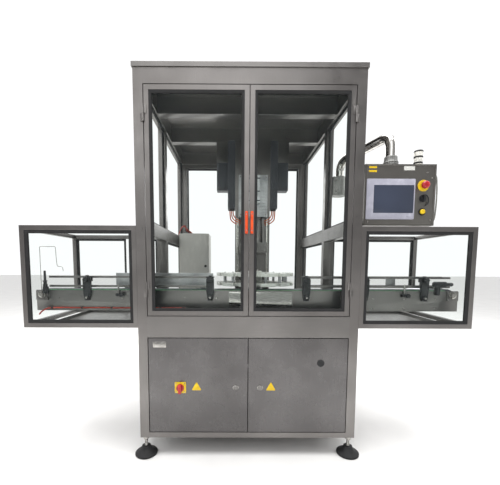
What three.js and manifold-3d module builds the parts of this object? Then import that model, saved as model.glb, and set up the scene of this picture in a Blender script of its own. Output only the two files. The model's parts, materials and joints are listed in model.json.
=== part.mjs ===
// Capping machine: a stainless frame with glazed doors over a cabinet, a slat conveyor that runs
// through two side guards, a pocketed starwheel, a lifting capping head and a swinging control box.
// Millimetres, +Z up, the front faces -Y, the origin is on the floor under the middle of the machine.
import * as THREE from 'three';
import { mergeVertices } from 'three/addons/utils/BufferGeometryUtils.js';
import Module from 'manifold-3d';

const wasm = await Module();
wasm.setup();

// ---- driving dimensions ------------------------------------------------------------------------
const frameWidth = 1200;
const frameDepth = 1280;
const totalHeight = 2100;
const footHeight = 108;
const tube = 50;              // square tube of the main frame
const roofThickness = 25;
const roofOverhang = 6;
const headerHeight = 80;
const deckTop = 795;          // top of the machine table
const deckHeight = 117;
const baseRail = 30;
const sheet = 4;              // folded sheet of the table, cabinet and trays
const doorGap = 4;            // gap round every door
const doorBar = 25;           // square tube of the glazed doors and side guards
const glassThickness = 5;
const glassSetback = 8;       // from the front of a frame to the front of its glass
const fit = 0.3;              // gap between pieces that are let into each other
const sideGuardLength = 620;
const sideGuardDepth = 560;
const sideGuardDrop = 64;       // guards reach this far below the table's top
const sideGuardHeight = 550;
const midPostInset = 20;      // middle post's axis in front of the guard's back
const sideRailHeight = 80;
const sideRailDrop = 41;      // rail's bottom below the guard's top

const conveyorSetback = 170;  // front of the frame to the middle of the chain
const conveyorEndInset = 10;  // end of the conveyor inside the end of a guard
const conveyorWidth = 130;
const conveyorLift = 16;      // conveyor above the table
const conveyorHeight = 118;
const chainWidth = 84;
const chainThickness = 8;
const chainProud = 4;         // chain above the side plates
const sprocketRadius = 20;
const shaftRadius = 10;
const shaftInset = 35;        // shaft axis to the end of the conveyor
const bottleRadius = 28;      // the bottle that the rails and pockets are set for

const pitchRadius = 230;      // starwheel axis to the middle of a bottle
const starwheelX = 60;
const pocketCount = 12;
const starPlate = 20;
const lowerPlateLift = 12;    // plates above the chain
const upperPlateLift = 72;
const starShaftRadius = 17;

const columnWidth = 260;
const columnDepth = 130;
const columnWall = 6;
const headReach = 70;         // capping axis in front of the column's face

const boxWidth = 380;
const boxHeight = 322;
const boxDepth = 150;
const boxSetback = 30;        // front of the frame to the front of the control box
const pipeRadius = 28;

// ---- places that follow from them --------------------------------------------------------------
const halfWidth = frameWidth / 2;
const halfDepth = frameDepth / 2;
const innerX = halfWidth - tube;
const innerY = halfDepth - tube;
const postTop = totalHeight - roofThickness;
const headerBottom = postTop - headerHeight;
const deckBottom = deckTop - deckHeight;
const baseTop = footHeight + baseRail;
const guardOuter = halfWidth + sideGuardLength;
const sideGuardBottom = deckTop - sideGuardDrop;
const guardTop = sideGuardBottom + sideGuardHeight;
const guardBack = -halfDepth + sideGuardDepth;
const midPostY = guardBack - midPostInset;
const sideRailBottom = guardTop - sideRailDrop;
const conveyorY = -halfDepth + conveyorSetback;
const conveyorLength = 2 * (guardOuter - conveyorEndInset);
const conveyorBottom = deckTop + conveyorLift;
const chainTop = conveyorBottom + conveyorHeight + chainProud;
const starwheelY = conveyorY + pitchRadius;
const headY = starwheelY + pitchRadius;
const columnFront = headY + headReach;
const lowerPlateBottom = chainTop + lowerPlateLift;
const upperPlateBottom = chainTop + upperPlateLift;
const shaftX = conveyorLength / 2 - shaftInset;
const shaftZ = chainTop - chainThickness - sprocketRadius;
const columnBack = columnFront + columnDepth;
const columnLeft = starwheelX - columnWidth / 2;
const columnRight = starwheelX + columnWidth / 2;
const boxFront = -halfDepth + boxSetback;
const boxBottom = guardTop + 9;
const boxLeft = halfWidth + 18;
const boxTop = boxBottom + boxHeight;
const armX = boxLeft + 167;   // axis of the collar that carries the control box
const armY = boxFront + 70;
const pivotX = halfWidth + 56;
const pivotY = midPostY;
const pivotTop = boxTop + 71;
const pivotBottom = boxTop - 55;

// ---- materials ---------------------------------------------------------------------------------
const finish = (color, roughness, metalness) =>
  new THREE.MeshStandardMaterial({ color, roughness, metalness });
const steel = () => finish('#8f8b86', 0.35, 0.9);
const aluminium = () => finish('#b9bbbd', 0.4, 0.9);
const clearGlass = () => {
  const pane = finish('#dfe7e8', 0.05, 0);
  pane.transparent = true;
  pane.opacity = 0.25;
  return pane;
};
const whitePlastic = () => finish('#e6e7e3', 0.45, 0);
const blackPlastic = () => finish('#1d1e21', 0.5, 0);
const greyPaint = () => finish('#4a4c52', 0.5, 0.1);
const palePaint = () => finish('#b4b3ae', 0.5, 0.1);
const redPlastic = () => finish('#c8202c', 0.35, 0);
const yellowPlastic = () => finish('#e8c51e', 0.4, 0);
const orangePlastic = () => finish('#e8530f', 0.4, 0);
const cableGrey = () => finish('#8b8b86', 0.55, 0);

// ---- helpers -----------------------------------------------------------------------------------
const machine = new THREE.Group();

function add(name, geometry, material) {
  const mesh = new THREE.Mesh(geometry, material);
  mesh.name = name;
  machine.add(mesh);
}

// A box between two limits along each axis, given in either order.
function box(x, y, z) {
  const size = [x, y, z].map(([a, b]) => Math.abs(b - a));
  const middle = [x, y, z].map(([a, b]) => (a + b) / 2);
  return new THREE.BoxGeometry(...size).translate(...middle);
}

// A round bar of one radius from one point to another.
function bar(radius, from, to, sides = 16) {
  const start = new THREE.Vector3(...from);
  const along = new THREE.Vector3(...to).sub(start);
  const turn = new THREE.Quaternion().setFromUnitVectors(
    new THREE.Vector3(0, 1, 0), along.clone().normalize());
  return new THREE.CylinderGeometry(radius, radius, along.length(), sides)
    .applyQuaternion(turn)
    .translate(...start.addScaledVector(along, 0.5).toArray());
}

// A turned shape on a vertical axis, from [radius, height] pairs that start and end on the axis.
function turned(profile, x, y, sides = 20) {
  const points = profile.map(([radius, z]) => new THREE.Vector2(radius, z));
  return new THREE.LatheGeometry(points, sides).rotateX(Math.PI / 2).translate(x, y, 0);
}

// A turned shape whose axis points out of the front, from [radius, distance in front of y] pairs.
function turnedForward(profile, x, y, z, sides = 16) {
  const points = profile.map(([radius, out]) => new THREE.Vector2(radius, out));
  return new THREE.LatheGeometry(points, sides).rotateX(Math.PI).translate(x, y, z);
}

function solid(geometry) {
  const bare = geometry.clone();
  bare.deleteAttribute('normal');
  bare.deleteAttribute('uv');
  const merged = mergeVertices(bare, 1e-4);
  return new wasm.Manifold(new wasm.Mesh({
    numProp: 3,
    vertProperties: new Float32Array(merged.attributes.position.array),
    triVerts: new Uint32Array(merged.index.array),
  }));
}

function meshOf(manifold) {
  const mesh = manifold.getMesh();
  const geometry = new THREE.BufferGeometry();
  geometry.setAttribute('position', new THREE.BufferAttribute(mesh.vertProperties, 3));
  geometry.setIndex(new THREE.BufferAttribute(mesh.triVerts, 1));
  return geometry;
}

const join = (...pieces) => meshOf(pieces.map(solid).reduce((all, piece) => all.add(piece)));
const cut = (body, ...tools) =>
  meshOf(tools.map(solid).reduce((left, tool) => left.subtract(tool), solid(body)));

// A rectangular frame of square bar that stands in the XZ plane, with its front at yFront.
function standingFrame(x, z, yFront, barWidth, depth) {
  const [x0, x1] = [Math.min(...x), Math.max(...x)];
  const outline = new THREE.Shape([
    new THREE.Vector2(x0, z[0]), new THREE.Vector2(x1, z[0]),
    new THREE.Vector2(x1, z[1]), new THREE.Vector2(x0, z[1]),
  ]);
  outline.holes.push(new THREE.Path([
    new THREE.Vector2(x0 + barWidth, z[0] + barWidth), new THREE.Vector2(x0 + barWidth, z[1] - barWidth),
    new THREE.Vector2(x1 - barWidth, z[1] - barWidth), new THREE.Vector2(x1 - barWidth, z[0] + barWidth),
  ]));
  return new THREE.ExtrudeGeometry(outline, { depth, bevelEnabled: false })
    .rotateX(Math.PI / 2).translate(0, yFront + depth, 0);
}

// A pane let into the opening of a standing frame.
function pane(x, z, yFront, barWidth) {
  const inset = barWidth + fit;
  const side = Math.sign(x[1] - x[0]);
  return box([x[0] + side * inset, x[1] - side * inset],
    [yFront + glassSetback, yFront + glassSetback + glassThickness],
    [z[0] + inset, z[1] - inset]);
}

// ---- welded frame ------------------------------------------------------------------------------
const hingeOut = 6;           // hinge axis in front of the door face
const hingeX = innerX - doorGap / 2;
const knuckleRadius = 5.5;
const hingePinRadius = 3;
const knuckleLength = 40;
const hingeLow = deckTop + 105;
const hingeHigh = headerBottom - 187;
const leafWidth = 16;
const leafThickness = 4;

// The fixed half of a lift-off hinge: a leaf on the post, a knuckle and the pin standing out of it.
function fixedHinge(side, z) {
  const x = side * hingeX;
  const y = -halfDepth - hingeOut;
  return [
    box([x, x + side * leafWidth], [-halfDepth - leafThickness, -halfDepth + 1], [z, z + knuckleLength]),
    bar(knuckleRadius, [x, y, z], [x, y, z + knuckleLength]),
    bar(hingePinRadius, [x, y, z], [x, y, z + 1.8 * knuckleLength]),
  ];
}

function portal(y) {
  return [
    box([-halfWidth, -innerX], y, [footHeight, postTop]),
    box([innerX, halfWidth], y, [footHeight, postTop]),
    box([-innerX - 1, innerX + 1], y, [headerBottom, postTop]),
  ];
}

const fixedHinges = [-1, 1].flatMap(
  (side) => [hingeLow, hingeHigh].flatMap((z) => fixedHinge(side, z)));
add('frame_front', join(...portal([-halfDepth, -innerY]), ...fixedHinges), steel());

// The rear opening has a welded rim that narrows it all round.
const rimWidth = 36;
add('frame_rear', join(...portal([innerY, halfDepth]),
  standingFrame([-innerX - 1, innerX + 1], [deckTop + fit, headerBottom + 1], innerY + 5, rimWidth, doorBar)),
steel());

// Each side has a top rail, a post in the middle and a rail across at half height.
for (const [side, word] of [[-1, 'left'], [1, 'right']]) {
  const x = [side * innerX, side * halfWidth];
  add(`frame_side_${word}`, join(
    box(x, [-innerY, innerY], [headerBottom, postTop]),
    box(x, [-innerY, innerY], [sideRailBottom, sideRailBottom + sideRailHeight]),
    box(x, [midPostY - tube / 2, midPostY + tube / 2], [deckTop, postTop]),
  ), steel());
}

// The roof is a folded sheet with two beams welded under it.
const beamWidth = 60;
const beamY = [starwheelY - 60, columnFront + columnDepth / 2];
add('roof', join(
  cut(
    box([-halfWidth - roofOverhang, halfWidth + roofOverhang],
      [-halfDepth - roofOverhang, halfDepth + roofOverhang], [postTop, totalHeight]),
    box([-innerX, innerX], [-innerY, innerY], [postTop - 1, totalHeight - sheet])),
  ...beamY.map((y) => box([-innerX, innerX], [y - beamWidth / 2, y + beamWidth / 2],
    [headerBottom, totalHeight - sheet + 1])),
), steel());

// The plan of the table and of the base: a square with its corners taken by the posts.
function plan(z) {
  return join(
    box([-innerX, innerX], [-halfDepth, halfDepth], z),
    box([-halfWidth, halfWidth], [-innerY, innerY], z));
}

const driveNeck = 50;
add('table', cut(
  plan([deckBottom, deckTop]),
  box([-innerX + sheet, innerX - sheet], [-halfDepth + sheet, halfDepth - sheet],
    [deckBottom - 1, deckTop - 2 * sheet]),
  bar(driveNeck + fit, [starwheelX, starwheelY, deckBottom], [starwheelX, starwheelY, deckTop + 1], 32),
), steel());

// The base tray, the cabinet's sides and its back are one folded weldment, open at the front.
add('cabinet_shell', join(
  cut(
    plan([footHeight, baseTop]),
    box([-innerX + sheet, innerX - sheet], [-halfDepth + sheet, halfDepth - sheet],
      [footHeight + sheet, baseTop + 1])),
  cut(
    box([-innerX, innerX], [-innerY, innerY], [baseTop - 1, deckBottom]),
    box([-innerX + sheet, innerX - sheet], [-innerY - 1, innerY - sheet], [baseTop - 2, deckBottom + 1])),
), steel());

const footX = halfWidth - tube / 2;
const footY = halfDepth - tube / 2;
const padRadius = 62;
for (const [word, x, y] of [
  ['front_left', -footX, -footY], ['front_right', footX, -footY],
  ['rear_left', -footX, footY], ['rear_right', footX, footY]]) {
  add(`foot_${word}`, turned([[0, 0], [padRadius, 0], [padRadius, 14], [26, 40], [24, 50],
    [9, 52], [9, 90], [16, 90], [16, footHeight], [0, footHeight]], x, y), blackPlastic());
}

// ---- cabinet doors -----------------------------------------------------------------------------
const doorInner = doorGap / 2;
const doorOuter = innerX - doorGap;
const cabinetDoorDepth = 20;
const latchX = 68;
const latchZ = (baseTop + deckBottom) / 2 - 10;
const isolatorX = -innerX + 177;
const isolatorRadius = 21;
const spindleRadius = 6;

for (const [side, word] of [[-1, 'left'], [1, 'right']]) {
  const x = [side * doorInner, side * doorOuter];
  const z = [baseTop + doorGap, deckBottom - doorGap];
  const skin = side * sheet / 2;
  const holes = [bar(spindleRadius + fit, [side * latchX, -halfDepth - 1, latchZ],
    [side * latchX, -halfDepth + cabinetDoorDepth, latchZ])];
  if (side < 0) {
    holes.push(bar(spindleRadius + fit, [isolatorX, -halfDepth - 1, latchZ],
      [isolatorX, -halfDepth + cabinetDoorDepth, latchZ]));
  }
  add(`cabinet_door_${word}`, cut(
    box(x, [-halfDepth, -halfDepth + cabinetDoorDepth], z),
    box([x[0] + skin, x[1] - skin], [-halfDepth + sheet / 2, -halfDepth + cabinetDoorDepth + 1],
      [z[0] + sheet / 2, z[1] - sheet / 2]),
    ...holes,
  ), steel());

  // A quarter-turn latch: a round head outside and a cam behind the door.
  add(`cabinet_latch_${word}`, join(
    turnedForward([[0, -14], [spindleRadius, -14], [spindleRadius, fit], [13, fit], [13, 10], [9, 14],
      [0, 14]], side * latchX, -halfDepth, latchZ),
    box([side * latchX - 8, side * latchX + 8], [-halfDepth + 10, -halfDepth + 14],
      [latchZ - 8, latchZ + 34]),
  ), steel());
}

const isolator = turnedForward([[0, -18], [spindleRadius, -18], [spindleRadius, 4], [isolatorRadius, 4],
  [isolatorRadius, 14], [0, 14]], isolatorX, -halfDepth, latchZ);
add('isolator_knob', join(isolator,
  box([isolatorX - 8, isolatorX + 8], [-halfDepth - 32, -halfDepth - 13],
    [latchZ - isolatorRadius - 3, latchZ + isolatorRadius + 3]),
), redPlastic());

// ---- glazed upper doors ------------------------------------------------------------------------
const handleWidth = 15;
const handleDepth = 18;
const handleBottom = deckTop + 444;
const handleHeight = 117;
const leafGap = 1;

// The moving half of the hinge: a leaf on the door and a bored knuckle that drops on the pin.
function doorHinge(side, z) {
  const x = side * hingeX;
  const y = -halfDepth - hingeOut;
  const low = z + knuckleLength + leafGap;
  return [
    box([x - side * 2, x - side * leafWidth], [-halfDepth - leafThickness, -halfDepth + 1],
      [low, low + knuckleLength]),
    bar(knuckleRadius, [x, y, low], [x, y, low + knuckleLength]),
  ];
}

for (const [side, word] of [[-1, 'left'], [1, 'right']]) {
  const x = [side * doorInner, side * doorOuter];
  const z = [deckTop + doorGap, headerBottom - doorGap];
  const pinX = side * hingeX;
  const pinY = -halfDepth - hingeOut;
  const frame = join(standingFrame(x, z, -halfDepth, doorBar, doorBar),
    ...[hingeLow, hingeHigh].flatMap((low) => doorHinge(side, low)));
  add(`door_${word}_frame`, cut(frame, ...[hingeLow, hingeHigh].map((low) =>
    bar(hingePinRadius + 2 * fit, [pinX, pinY, low + knuckleLength],
      [pinX, pinY, low + 1.8 * knuckleLength + 2 * leafGap]))), steel());
  add(`door_${word}_glass`, pane(x, z, -halfDepth, doorBar), clearGlass());

  const middle = side * (doorInner + doorBar / 2);
  const grip = new THREE.Shape().absarc(0, 0, handleWidth / 2, 0, Math.PI)
    .lineTo(-handleWidth / 2, -handleDepth + handleWidth / 2)
    .lineTo(handleWidth / 2, -handleDepth + handleWidth / 2);
  add(`door_${word}_handle`,
    new THREE.ExtrudeGeometry(grip, { depth: handleHeight, bevelEnabled: false, curveSegments: 6 })
      .rotateZ(Math.PI)
      .translate(middle, -halfDepth - handleDepth + handleWidth / 2, handleBottom), orangePlastic());
}

// ---- side guards -------------------------------------------------------------------------------
const trayLength = sideGuardLength - 120;
const trayHeight = 24;
for (const [side, word] of [[-1, 'left'], [1, 'right']]) {
  const x = [side * halfWidth, side * guardOuter];
  const z = [sideGuardBottom, guardTop];
  const rail = [side * (guardOuter - doorBar), side * guardOuter];
  const backBars = [standingFrame(x, z, guardBack - doorBar, doorBar, doorBar)];
  if (side < 0) {
    const middle = side * (halfWidth + 0.36 * sideGuardLength);
    backBars.push(box([middle, middle + doorBar], [guardBack - doorBar, guardBack], z));
  }
  add(`guard_${word}_front`, standingFrame(x, z, -halfDepth, doorBar, doorBar), steel());
  add(`guard_${word}_window`, pane(x, z, -halfDepth, doorBar), clearGlass());

  // The cage is the back frame, two rails along the outer end and a shallow tray underneath.
  const trayX = [side * halfWidth, side * (halfWidth + trayLength)];
  const trayY = [-halfDepth + doorBar, guardBack - doorBar + 1];
  add(`guard_${word}_cage`, join(...backBars,
    box(rail, trayY, [guardTop - doorBar, guardTop]),
    box(rail, trayY, [z[0], z[0] + doorBar]),
    cut(
      box(trayX, trayY, [z[0], z[0] + trayHeight]),
      box([trayX[0] + side * sheet, trayX[1] - side * sheet], [trayY[0] + sheet, trayY[1] - sheet],
        [z[0] + sheet, z[0] + trayHeight + 1])),
  ), steel());
}

// ---- conveyor ----------------------------------------------------------------------------------
const halfLength = conveyorLength / 2;
const conveyorFront = conveyorY - conveyorWidth / 2;
const conveyorBack = conveyorY + conveyorWidth / 2;
const conveyorTop = conveyorBottom + conveyorHeight;
const shaftEnd = 12;          // shaft past the outside of a side plate
const bearingSize = 66;
const bearingThickness = 8;
const legX = innerX - 130;
const legWidth = 80;
const coverPlate = [starwheelX - 170, starwheelX + 197];

const shaftHoles = [-shaftX, shaftX].map((x) => bar(shaftRadius + fit,
  [x, conveyorFront - 30, shaftZ], [x, conveyorBack + 30, shaftZ]));
add('conveyor_body', cut(join(
  cut(
    box([-halfLength, halfLength], [conveyorFront, conveyorBack], [conveyorBottom, conveyorTop]),
    box([-halfLength - 1, halfLength + 1], [conveyorFront + sheet, conveyorBack - sheet],
      [conveyorBottom + sheet, conveyorTop + 1])),
  ...[-shaftX, shaftX].map((x) => box([x - bearingSize / 2, x + bearingSize / 2],
    [conveyorFront - bearingThickness, conveyorFront + 1], [shaftZ - bearingSize / 2, shaftZ + 20])),
  ...[-legX, legX].map((x) => box([x - legWidth / 2, x + legWidth / 2],
    [conveyorFront, conveyorBack], [deckTop, conveyorBottom + 1])),
  box(coverPlate, [conveyorFront - sheet, conveyorFront + 1], [conveyorBottom + 22, conveyorTop - 6]),
), ...shaftHoles), steel());

// The chain is one closed loop round the two sprockets.
function loopOutline(radius) {
  return (path) => path.moveTo(-shaftX, -radius).lineTo(shaftX, -radius)
    .absarc(shaftX, 0, radius, -Math.PI / 2, Math.PI / 2)
    .lineTo(-shaftX, radius)
    .absarc(-shaftX, 0, radius, Math.PI / 2, 1.5 * Math.PI);
}
const chain = loopOutline(sprocketRadius + chainThickness)(new THREE.Shape());
chain.holes.push(loopOutline(sprocketRadius)(new THREE.Path()));
add('chain', new THREE.ExtrudeGeometry(chain, { depth: chainWidth, bevelEnabled: false, curveSegments: 6 })
  .rotateX(Math.PI / 2).translate(0, conveyorY + chainWidth / 2, shaftZ), greyPaint());

const sprocketWidth = chainWidth - 10;
const gearboxGap = 2;
const gearboxDepth = 80;
const gearboxFront = conveyorBack + gearboxGap;
for (const [word, x, back] of [
  ['idler', -shaftX, conveyorBack + shaftEnd], ['drive', shaftX, gearboxFront + gearboxDepth / 2]]) {
  add(`${word}_shaft`, join(
    bar(shaftRadius, [x, conveyorFront - shaftEnd, shaftZ], [x, back, shaftZ]),
    bar(sprocketRadius - fit, [x, conveyorY - sprocketWidth / 2, shaftZ],
      [x, conveyorY + sprocketWidth / 2, shaftZ]),
  ), steel());
}

// The gearbox takes the drive shaft in its bore and carries a motor that points backwards.
const motorRadius = 42;
const motorEnd = guardBack - doorBar - 68;
add('conveyor_gearmotor', cut(join(
  box([shaftX - 55, halfLength], [gearboxFront, gearboxFront + gearboxDepth],
    [shaftZ - 50, shaftZ + 32]),
  bar(motorRadius, [shaftX - 12, gearboxFront + gearboxDepth - 1, shaftZ - 8],
    [shaftX - 12, motorEnd, shaftZ - 8], 28),
), bar(shaftRadius + fit, [shaftX, gearboxFront - 1, shaftZ],
  [shaftX, gearboxFront + gearboxDepth / 2 + 1, shaftZ])), aluminium());

// ---- guide rails -------------------------------------------------------------------------------
const railThickness = 8;
const railHeight = 12;
const lowRailZ = chainTop + 11;
const highRailZ = chainTop + 64;
const railInner = bottleRadius + 4;
const wheelRadius = pitchRadius + 0.85 * bottleRadius;
const railEnd = wheelRadius + 11;
const leftRail = [-guardOuter + 70, starwheelX - railEnd];
const rightRail = [starwheelX + railEnd, guardOuter - 40];

// Two bars, one above the other, joined by an upright at each end and at each bracket.
function railPair(x, y, uprights) {
  return join(
    ...[lowRailZ, highRailZ].map((z) => box(x, y, [z, z + railHeight])),
    ...uprights.map((at) => box([at - 6, at + 6], y, [lowRailZ, highRailZ + railHeight])));
}
const frontY = [conveyorY - railInner - railThickness, conveyorY - railInner];
const backY = [conveyorY + railInner, conveyorY + railInner + railThickness];
const bracketX = {
  left: [leftRail[0] + 235, leftRail[1] - 10],
  right: [rightRail[0] + 10, rightRail[0] + 345, rightRail[1] - 170],
};
add('rail_front_left', railPair(leftRail, frontY, bracketX.left), steel());
add('rail_front_right', railPair(rightRail, frontY, bracketX.right), steel());
add('rail_rear_right', railPair(rightRail, backY, bracketX.right), steel());

const plateTop = upperPlateBottom + starPlate;
const plateLeft = leftRail[0] + 360;
add('rail_rear_left', join(
  box([plateLeft, leftRail[1]], backY, [lowRailZ, plateTop]),
  ...[plateLeft + 60, leftRail[1] - 60].flatMap((x) => [
    box([x - 20, x + 20], [backY[1] - 1, conveyorBack], [lowRailZ, lowRailZ + sheet]),
    box([x - 20, x + 20], [conveyorBack - sheet, conveyorBack], [conveyorTop, lowRailZ + sheet]),
  ]),
), aluminium());

// A moulded bracket on the conveyor's side reaches up and clamps the rails.
const bracketDepth = 16;
function bracket(x) {
  const outline = new THREE.Shape([
    [-13, -58], [13, -58], [22, -8], [22, 62], [16, 76], [-16, 76], [-22, 62], [-22, -8],
  ].map(([across, up]) => new THREE.Vector2(across, up)));
  const body = new THREE.ExtrudeGeometry(outline, { depth: bracketDepth, bevelEnabled: false })
    .rotateX(Math.PI / 2).translate(x, conveyorFront, conveyorTop);
  return join(body,
    box([x - 18, x + 18], [conveyorFront - 1, frontY[0]], [conveyorTop + 50, conveyorTop + 76]),
    bar(9, [x, conveyorFront - bracketDepth - 16, conveyorTop + 62],
      [x, conveyorFront - 2, conveyorTop + 62], 12),
    bar(12, [x, conveyorFront - bracketDepth - 8, conveyorTop - 40],
      [x, conveyorFront - 2, conveyorTop - 40], 12));
}
[...bracketX.left, ...bracketX.right].forEach((x, index) =>
  add(`rail_bracket_${index + 1}`, bracket(x), blackPlastic()));

// ---- starwheel and its drive -------------------------------------------------------------------
const pocketRadius = bottleRadius + 1;
const hubRadius = 46;
const driveSize = 180;

// A plate with a round pocket for each bottle: arcs of the rim alternate with arcs of a pocket.
function starPlateOutline() {
  const step = 2 * Math.PI / pocketCount;
  const cosine = (wheelRadius ** 2 + pitchRadius ** 2 - pocketRadius ** 2) / (2 * wheelRadius * pitchRadius);
  const mouth = Math.acos(cosine);
  const lip = Math.atan2(wheelRadius * Math.sin(mouth), wheelRadius * cosine - pitchRadius);
  const outline = new THREE.Shape();
  for (let pocket = 0; pocket < pocketCount; pocket += 1) {
    const angle = pocket * step - Math.PI / 2;
    outline.absarc(pitchRadius * Math.cos(angle), pitchRadius * Math.sin(angle), pocketRadius,
      angle - lip, angle + lip, true);
    outline.absarc(0, 0, wheelRadius, angle + mouth, angle + step - mouth, false);
  }
  return outline;
}
const starPlateAt = (z) => new THREE.ExtrudeGeometry(starPlateOutline(),
  { depth: starPlate, bevelEnabled: false, curveSegments: 4 }).translate(starwheelX, starwheelY, z);
const starAxis = (z) => [starwheelX, starwheelY, z];
add('starwheel', join(
  starPlateAt(lowerPlateBottom),
  starPlateAt(upperPlateBottom),
  bar(hubRadius, starAxis(lowerPlateBottom - 15), starAxis(upperPlateBottom + starPlate + 12), 32),
  bar(starShaftRadius, starAxis(deckBottom - 60), starAxis(lowerPlateBottom), 24),
), whitePlastic());
add('starwheel_drive', cut(join(
  bar(driveNeck, starAxis(deckBottom - 21), starAxis(lowerPlateBottom - 20), 32),
  box([starwheelX - driveSize / 2, starwheelX + driveSize / 2],
    [starwheelY - driveSize / 2, starwheelY + driveSize / 2], [deckBottom - 160, deckBottom - 20]),
  box([starwheelX - 45, starwheelX + 45], [starwheelY + driveSize / 2 - 1, starwheelY + 260],
    [deckBottom - 140, deckBottom - 50]),
), bar(starShaftRadius + fit, starAxis(deckBottom - 61), starAxis(lowerPlateBottom), 24)), aluminium());

// ---- capping column ----------------------------------------------------------------------------
const carriageBottom = chainTop + 232;
const carriageHeight = 75;
const rodRadius = 10;
const rodX = 75;
const rodY = columnFront - 35;
const chuckTravel = 40;
const chuckBottom = carriageBottom - 30;
const headBodyTop = carriageBottom + 245;
const liftBottom = headBodyTop + 20;
const liftTop = liftBottom + 300;
const rodTop = liftBottom + 170;
const ductBottom = headerBottom - 495;
const ductWidth = 55;
const duct = (edge, side) =>
  box([edge - side, edge + side * ductWidth], [columnFront, columnFront + 100], [ductBottom, headerBottom]);
add('column', join(
  cut(
    box([columnLeft, columnRight], [columnFront, columnBack], [deckTop, headerBottom]),
    box([columnLeft + columnWall, columnRight - columnWall],
      [columnFront + columnWall, columnBack - columnWall], [deckTop - 1, headerBottom + 1])),
  duct(columnLeft, -1),
  duct(columnRight, 1),
), steel());

const rods = [-rodX, rodX].map((offset) => starwheelX + offset);
add('lift_drive', cut(join(
  box([starwheelX - 105, starwheelX + 105], [columnFront - 60, columnFront], [liftBottom, liftTop]),
  box([starwheelX - 45, starwheelX + 45], [columnFront - 120, columnFront - 59],
    [liftBottom + 90, liftTop - 20]),
), ...rods.map((x) => bar(rodRadius + fit, [x, rodY, liftBottom - 1], [x, rodY, liftTop + 1]))), aluminium());

// The carriage hangs on two rods that slide in the lift drive, and holds the chuck's bearing.
add('head_carriage', cut(join(
  box([starwheelX - 100, starwheelX + 100], [headY - 45, columnFront - fit],
    [carriageBottom, carriageBottom + carriageHeight]),
  box([starwheelX - 40, starwheelX + 40], [headY - 40, headY + 26],
    [carriageBottom + carriageHeight - 1, headBodyTop - chuckTravel]),
  ...rods.map((x) => bar(rodRadius, [x, rodY, carriageBottom + 10], [x, rodY, rodTop])),
), bar(14 + fit, [starwheelX, headY, carriageBottom - 1], [starwheelX, headY, headBodyTop - 100])),
steel());
add('chuck', turned([[0, chuckBottom + 18], [17, chuckBottom + 18], [17, chuckBottom], [27, chuckBottom],
  [30, chuckBottom + 6], [30, carriageBottom - 8], [20, carriageBottom - 2], [14, carriageBottom - 2],
  [14, headBodyTop - 110], [0, headBodyTop - 110]], starwheelX, headY), aluminium());

// Two junction boxes hang from the rear roof beam, one on each side of the column.
const hangingWidth = 85;
const hangingOffset = 228;
const hangingBottom = headerBottom - 355;
for (const [side, word] of [[-1, 'left'], [1, 'right']]) {
  const middle = starwheelX + side * hangingOffset;
  add(`junction_box_${word}`, box([middle - hangingWidth / 2, middle + hangingWidth / 2],
    [columnFront + 30, columnFront + 110], [hangingBottom, headerBottom]), greyPaint());
}

const feederX = [-innerX + 12, -innerX + 260];
const feederY = [innerY - 290, innerY - 50];
const feederTop = deckTop + 542;
add('cap_feeder', cut(box(feederX, feederY, [deckTop, feederTop]),
  box([feederX[0] + sheet, feederX[1] - sheet], [feederY[0] + sheet, feederY[1] - sheet],
    [deckTop - 1, feederTop - sheet])), palePaint());

// ---- control box on its arm --------------------------------------------------------------------
const boxWall = 3;
const boxRight = boxLeft + boxWidth;
const boxBack = boxFront + boxDepth;
const buttonX = boxRight - 68;
const stopZ = boxBottom + 210;
const selectorZ = boxBottom + 143;
const pushZ = boxBottom + 73;
const stemRadius = 11;
const collarHeight = 60;
const panelX = [boxLeft + 8, boxLeft + 268];
const panelZ = [boxBottom + 32, boxBottom + 245];
const stopTravel = 6;

const buttonHoles = [stopZ, selectorZ, pushZ].map((z) =>
  bar(stemRadius + fit, [buttonX, boxFront - 1, z], [buttonX, boxFront + 10, z]));
const cableTopZ = boxTop - 26;
const cableY = boxFront + 60;
const cableRadius = 4;
const cableGap = 1;
const armHole = bar(20, [armX, armY, boxTop - 10], [armX, armY, boxTop + 1]);
add('control_box', cut(
  box([boxLeft, boxRight], [boxFront, boxBack], [boxBottom, boxTop]),
  box([boxLeft + boxWall, boxRight - boxWall], [boxFront + boxWall, boxBack - boxWall],
    [boxBottom + boxWall, boxTop - boxWall]),
  ...buttonHoles, armHole,
), steel());
add('touch_panel', box(panelX, [boxFront - 7, boxFront], panelZ), aluminium());

add('emergency_stop', turnedForward([[0, -22], [stemRadius, -22], [stemRadius, 10 + stopTravel],
  [20, 10 + stopTravel], [20, 22 + stopTravel], [14, 29 + stopTravel], [0, 30 + stopTravel]],
buttonX, boxFront, stopZ), redPlastic());
add('selector', join(
  turnedForward([[0, -20], [stemRadius, -20], [stemRadius, fit], [15, fit], [15, 10], [0, 10]],
    buttonX, boxFront, selectorZ),
  box([buttonX - 5, buttonX + 5], [boxFront - 24, boxFront - 9], [selectorZ - 17, selectorZ + 17]),
), blackPlastic());
add('push_button', turnedForward([[0, -20], [stemRadius, -20], [stemRadius, 5], [13, 5], [13, 10],
  [10, 12], [0, 12]], buttonX, boxFront, pushZ), yellowPlastic());

const beaconRadius = 24;
add('beacon', turned([[0, boxTop], [beaconRadius, boxTop], [beaconRadius, boxTop + 100],
  [beaconRadius - 6, boxTop + 106], [0, boxTop + 106]], boxLeft + 337, boxFront + 100), whitePlastic());

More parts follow.
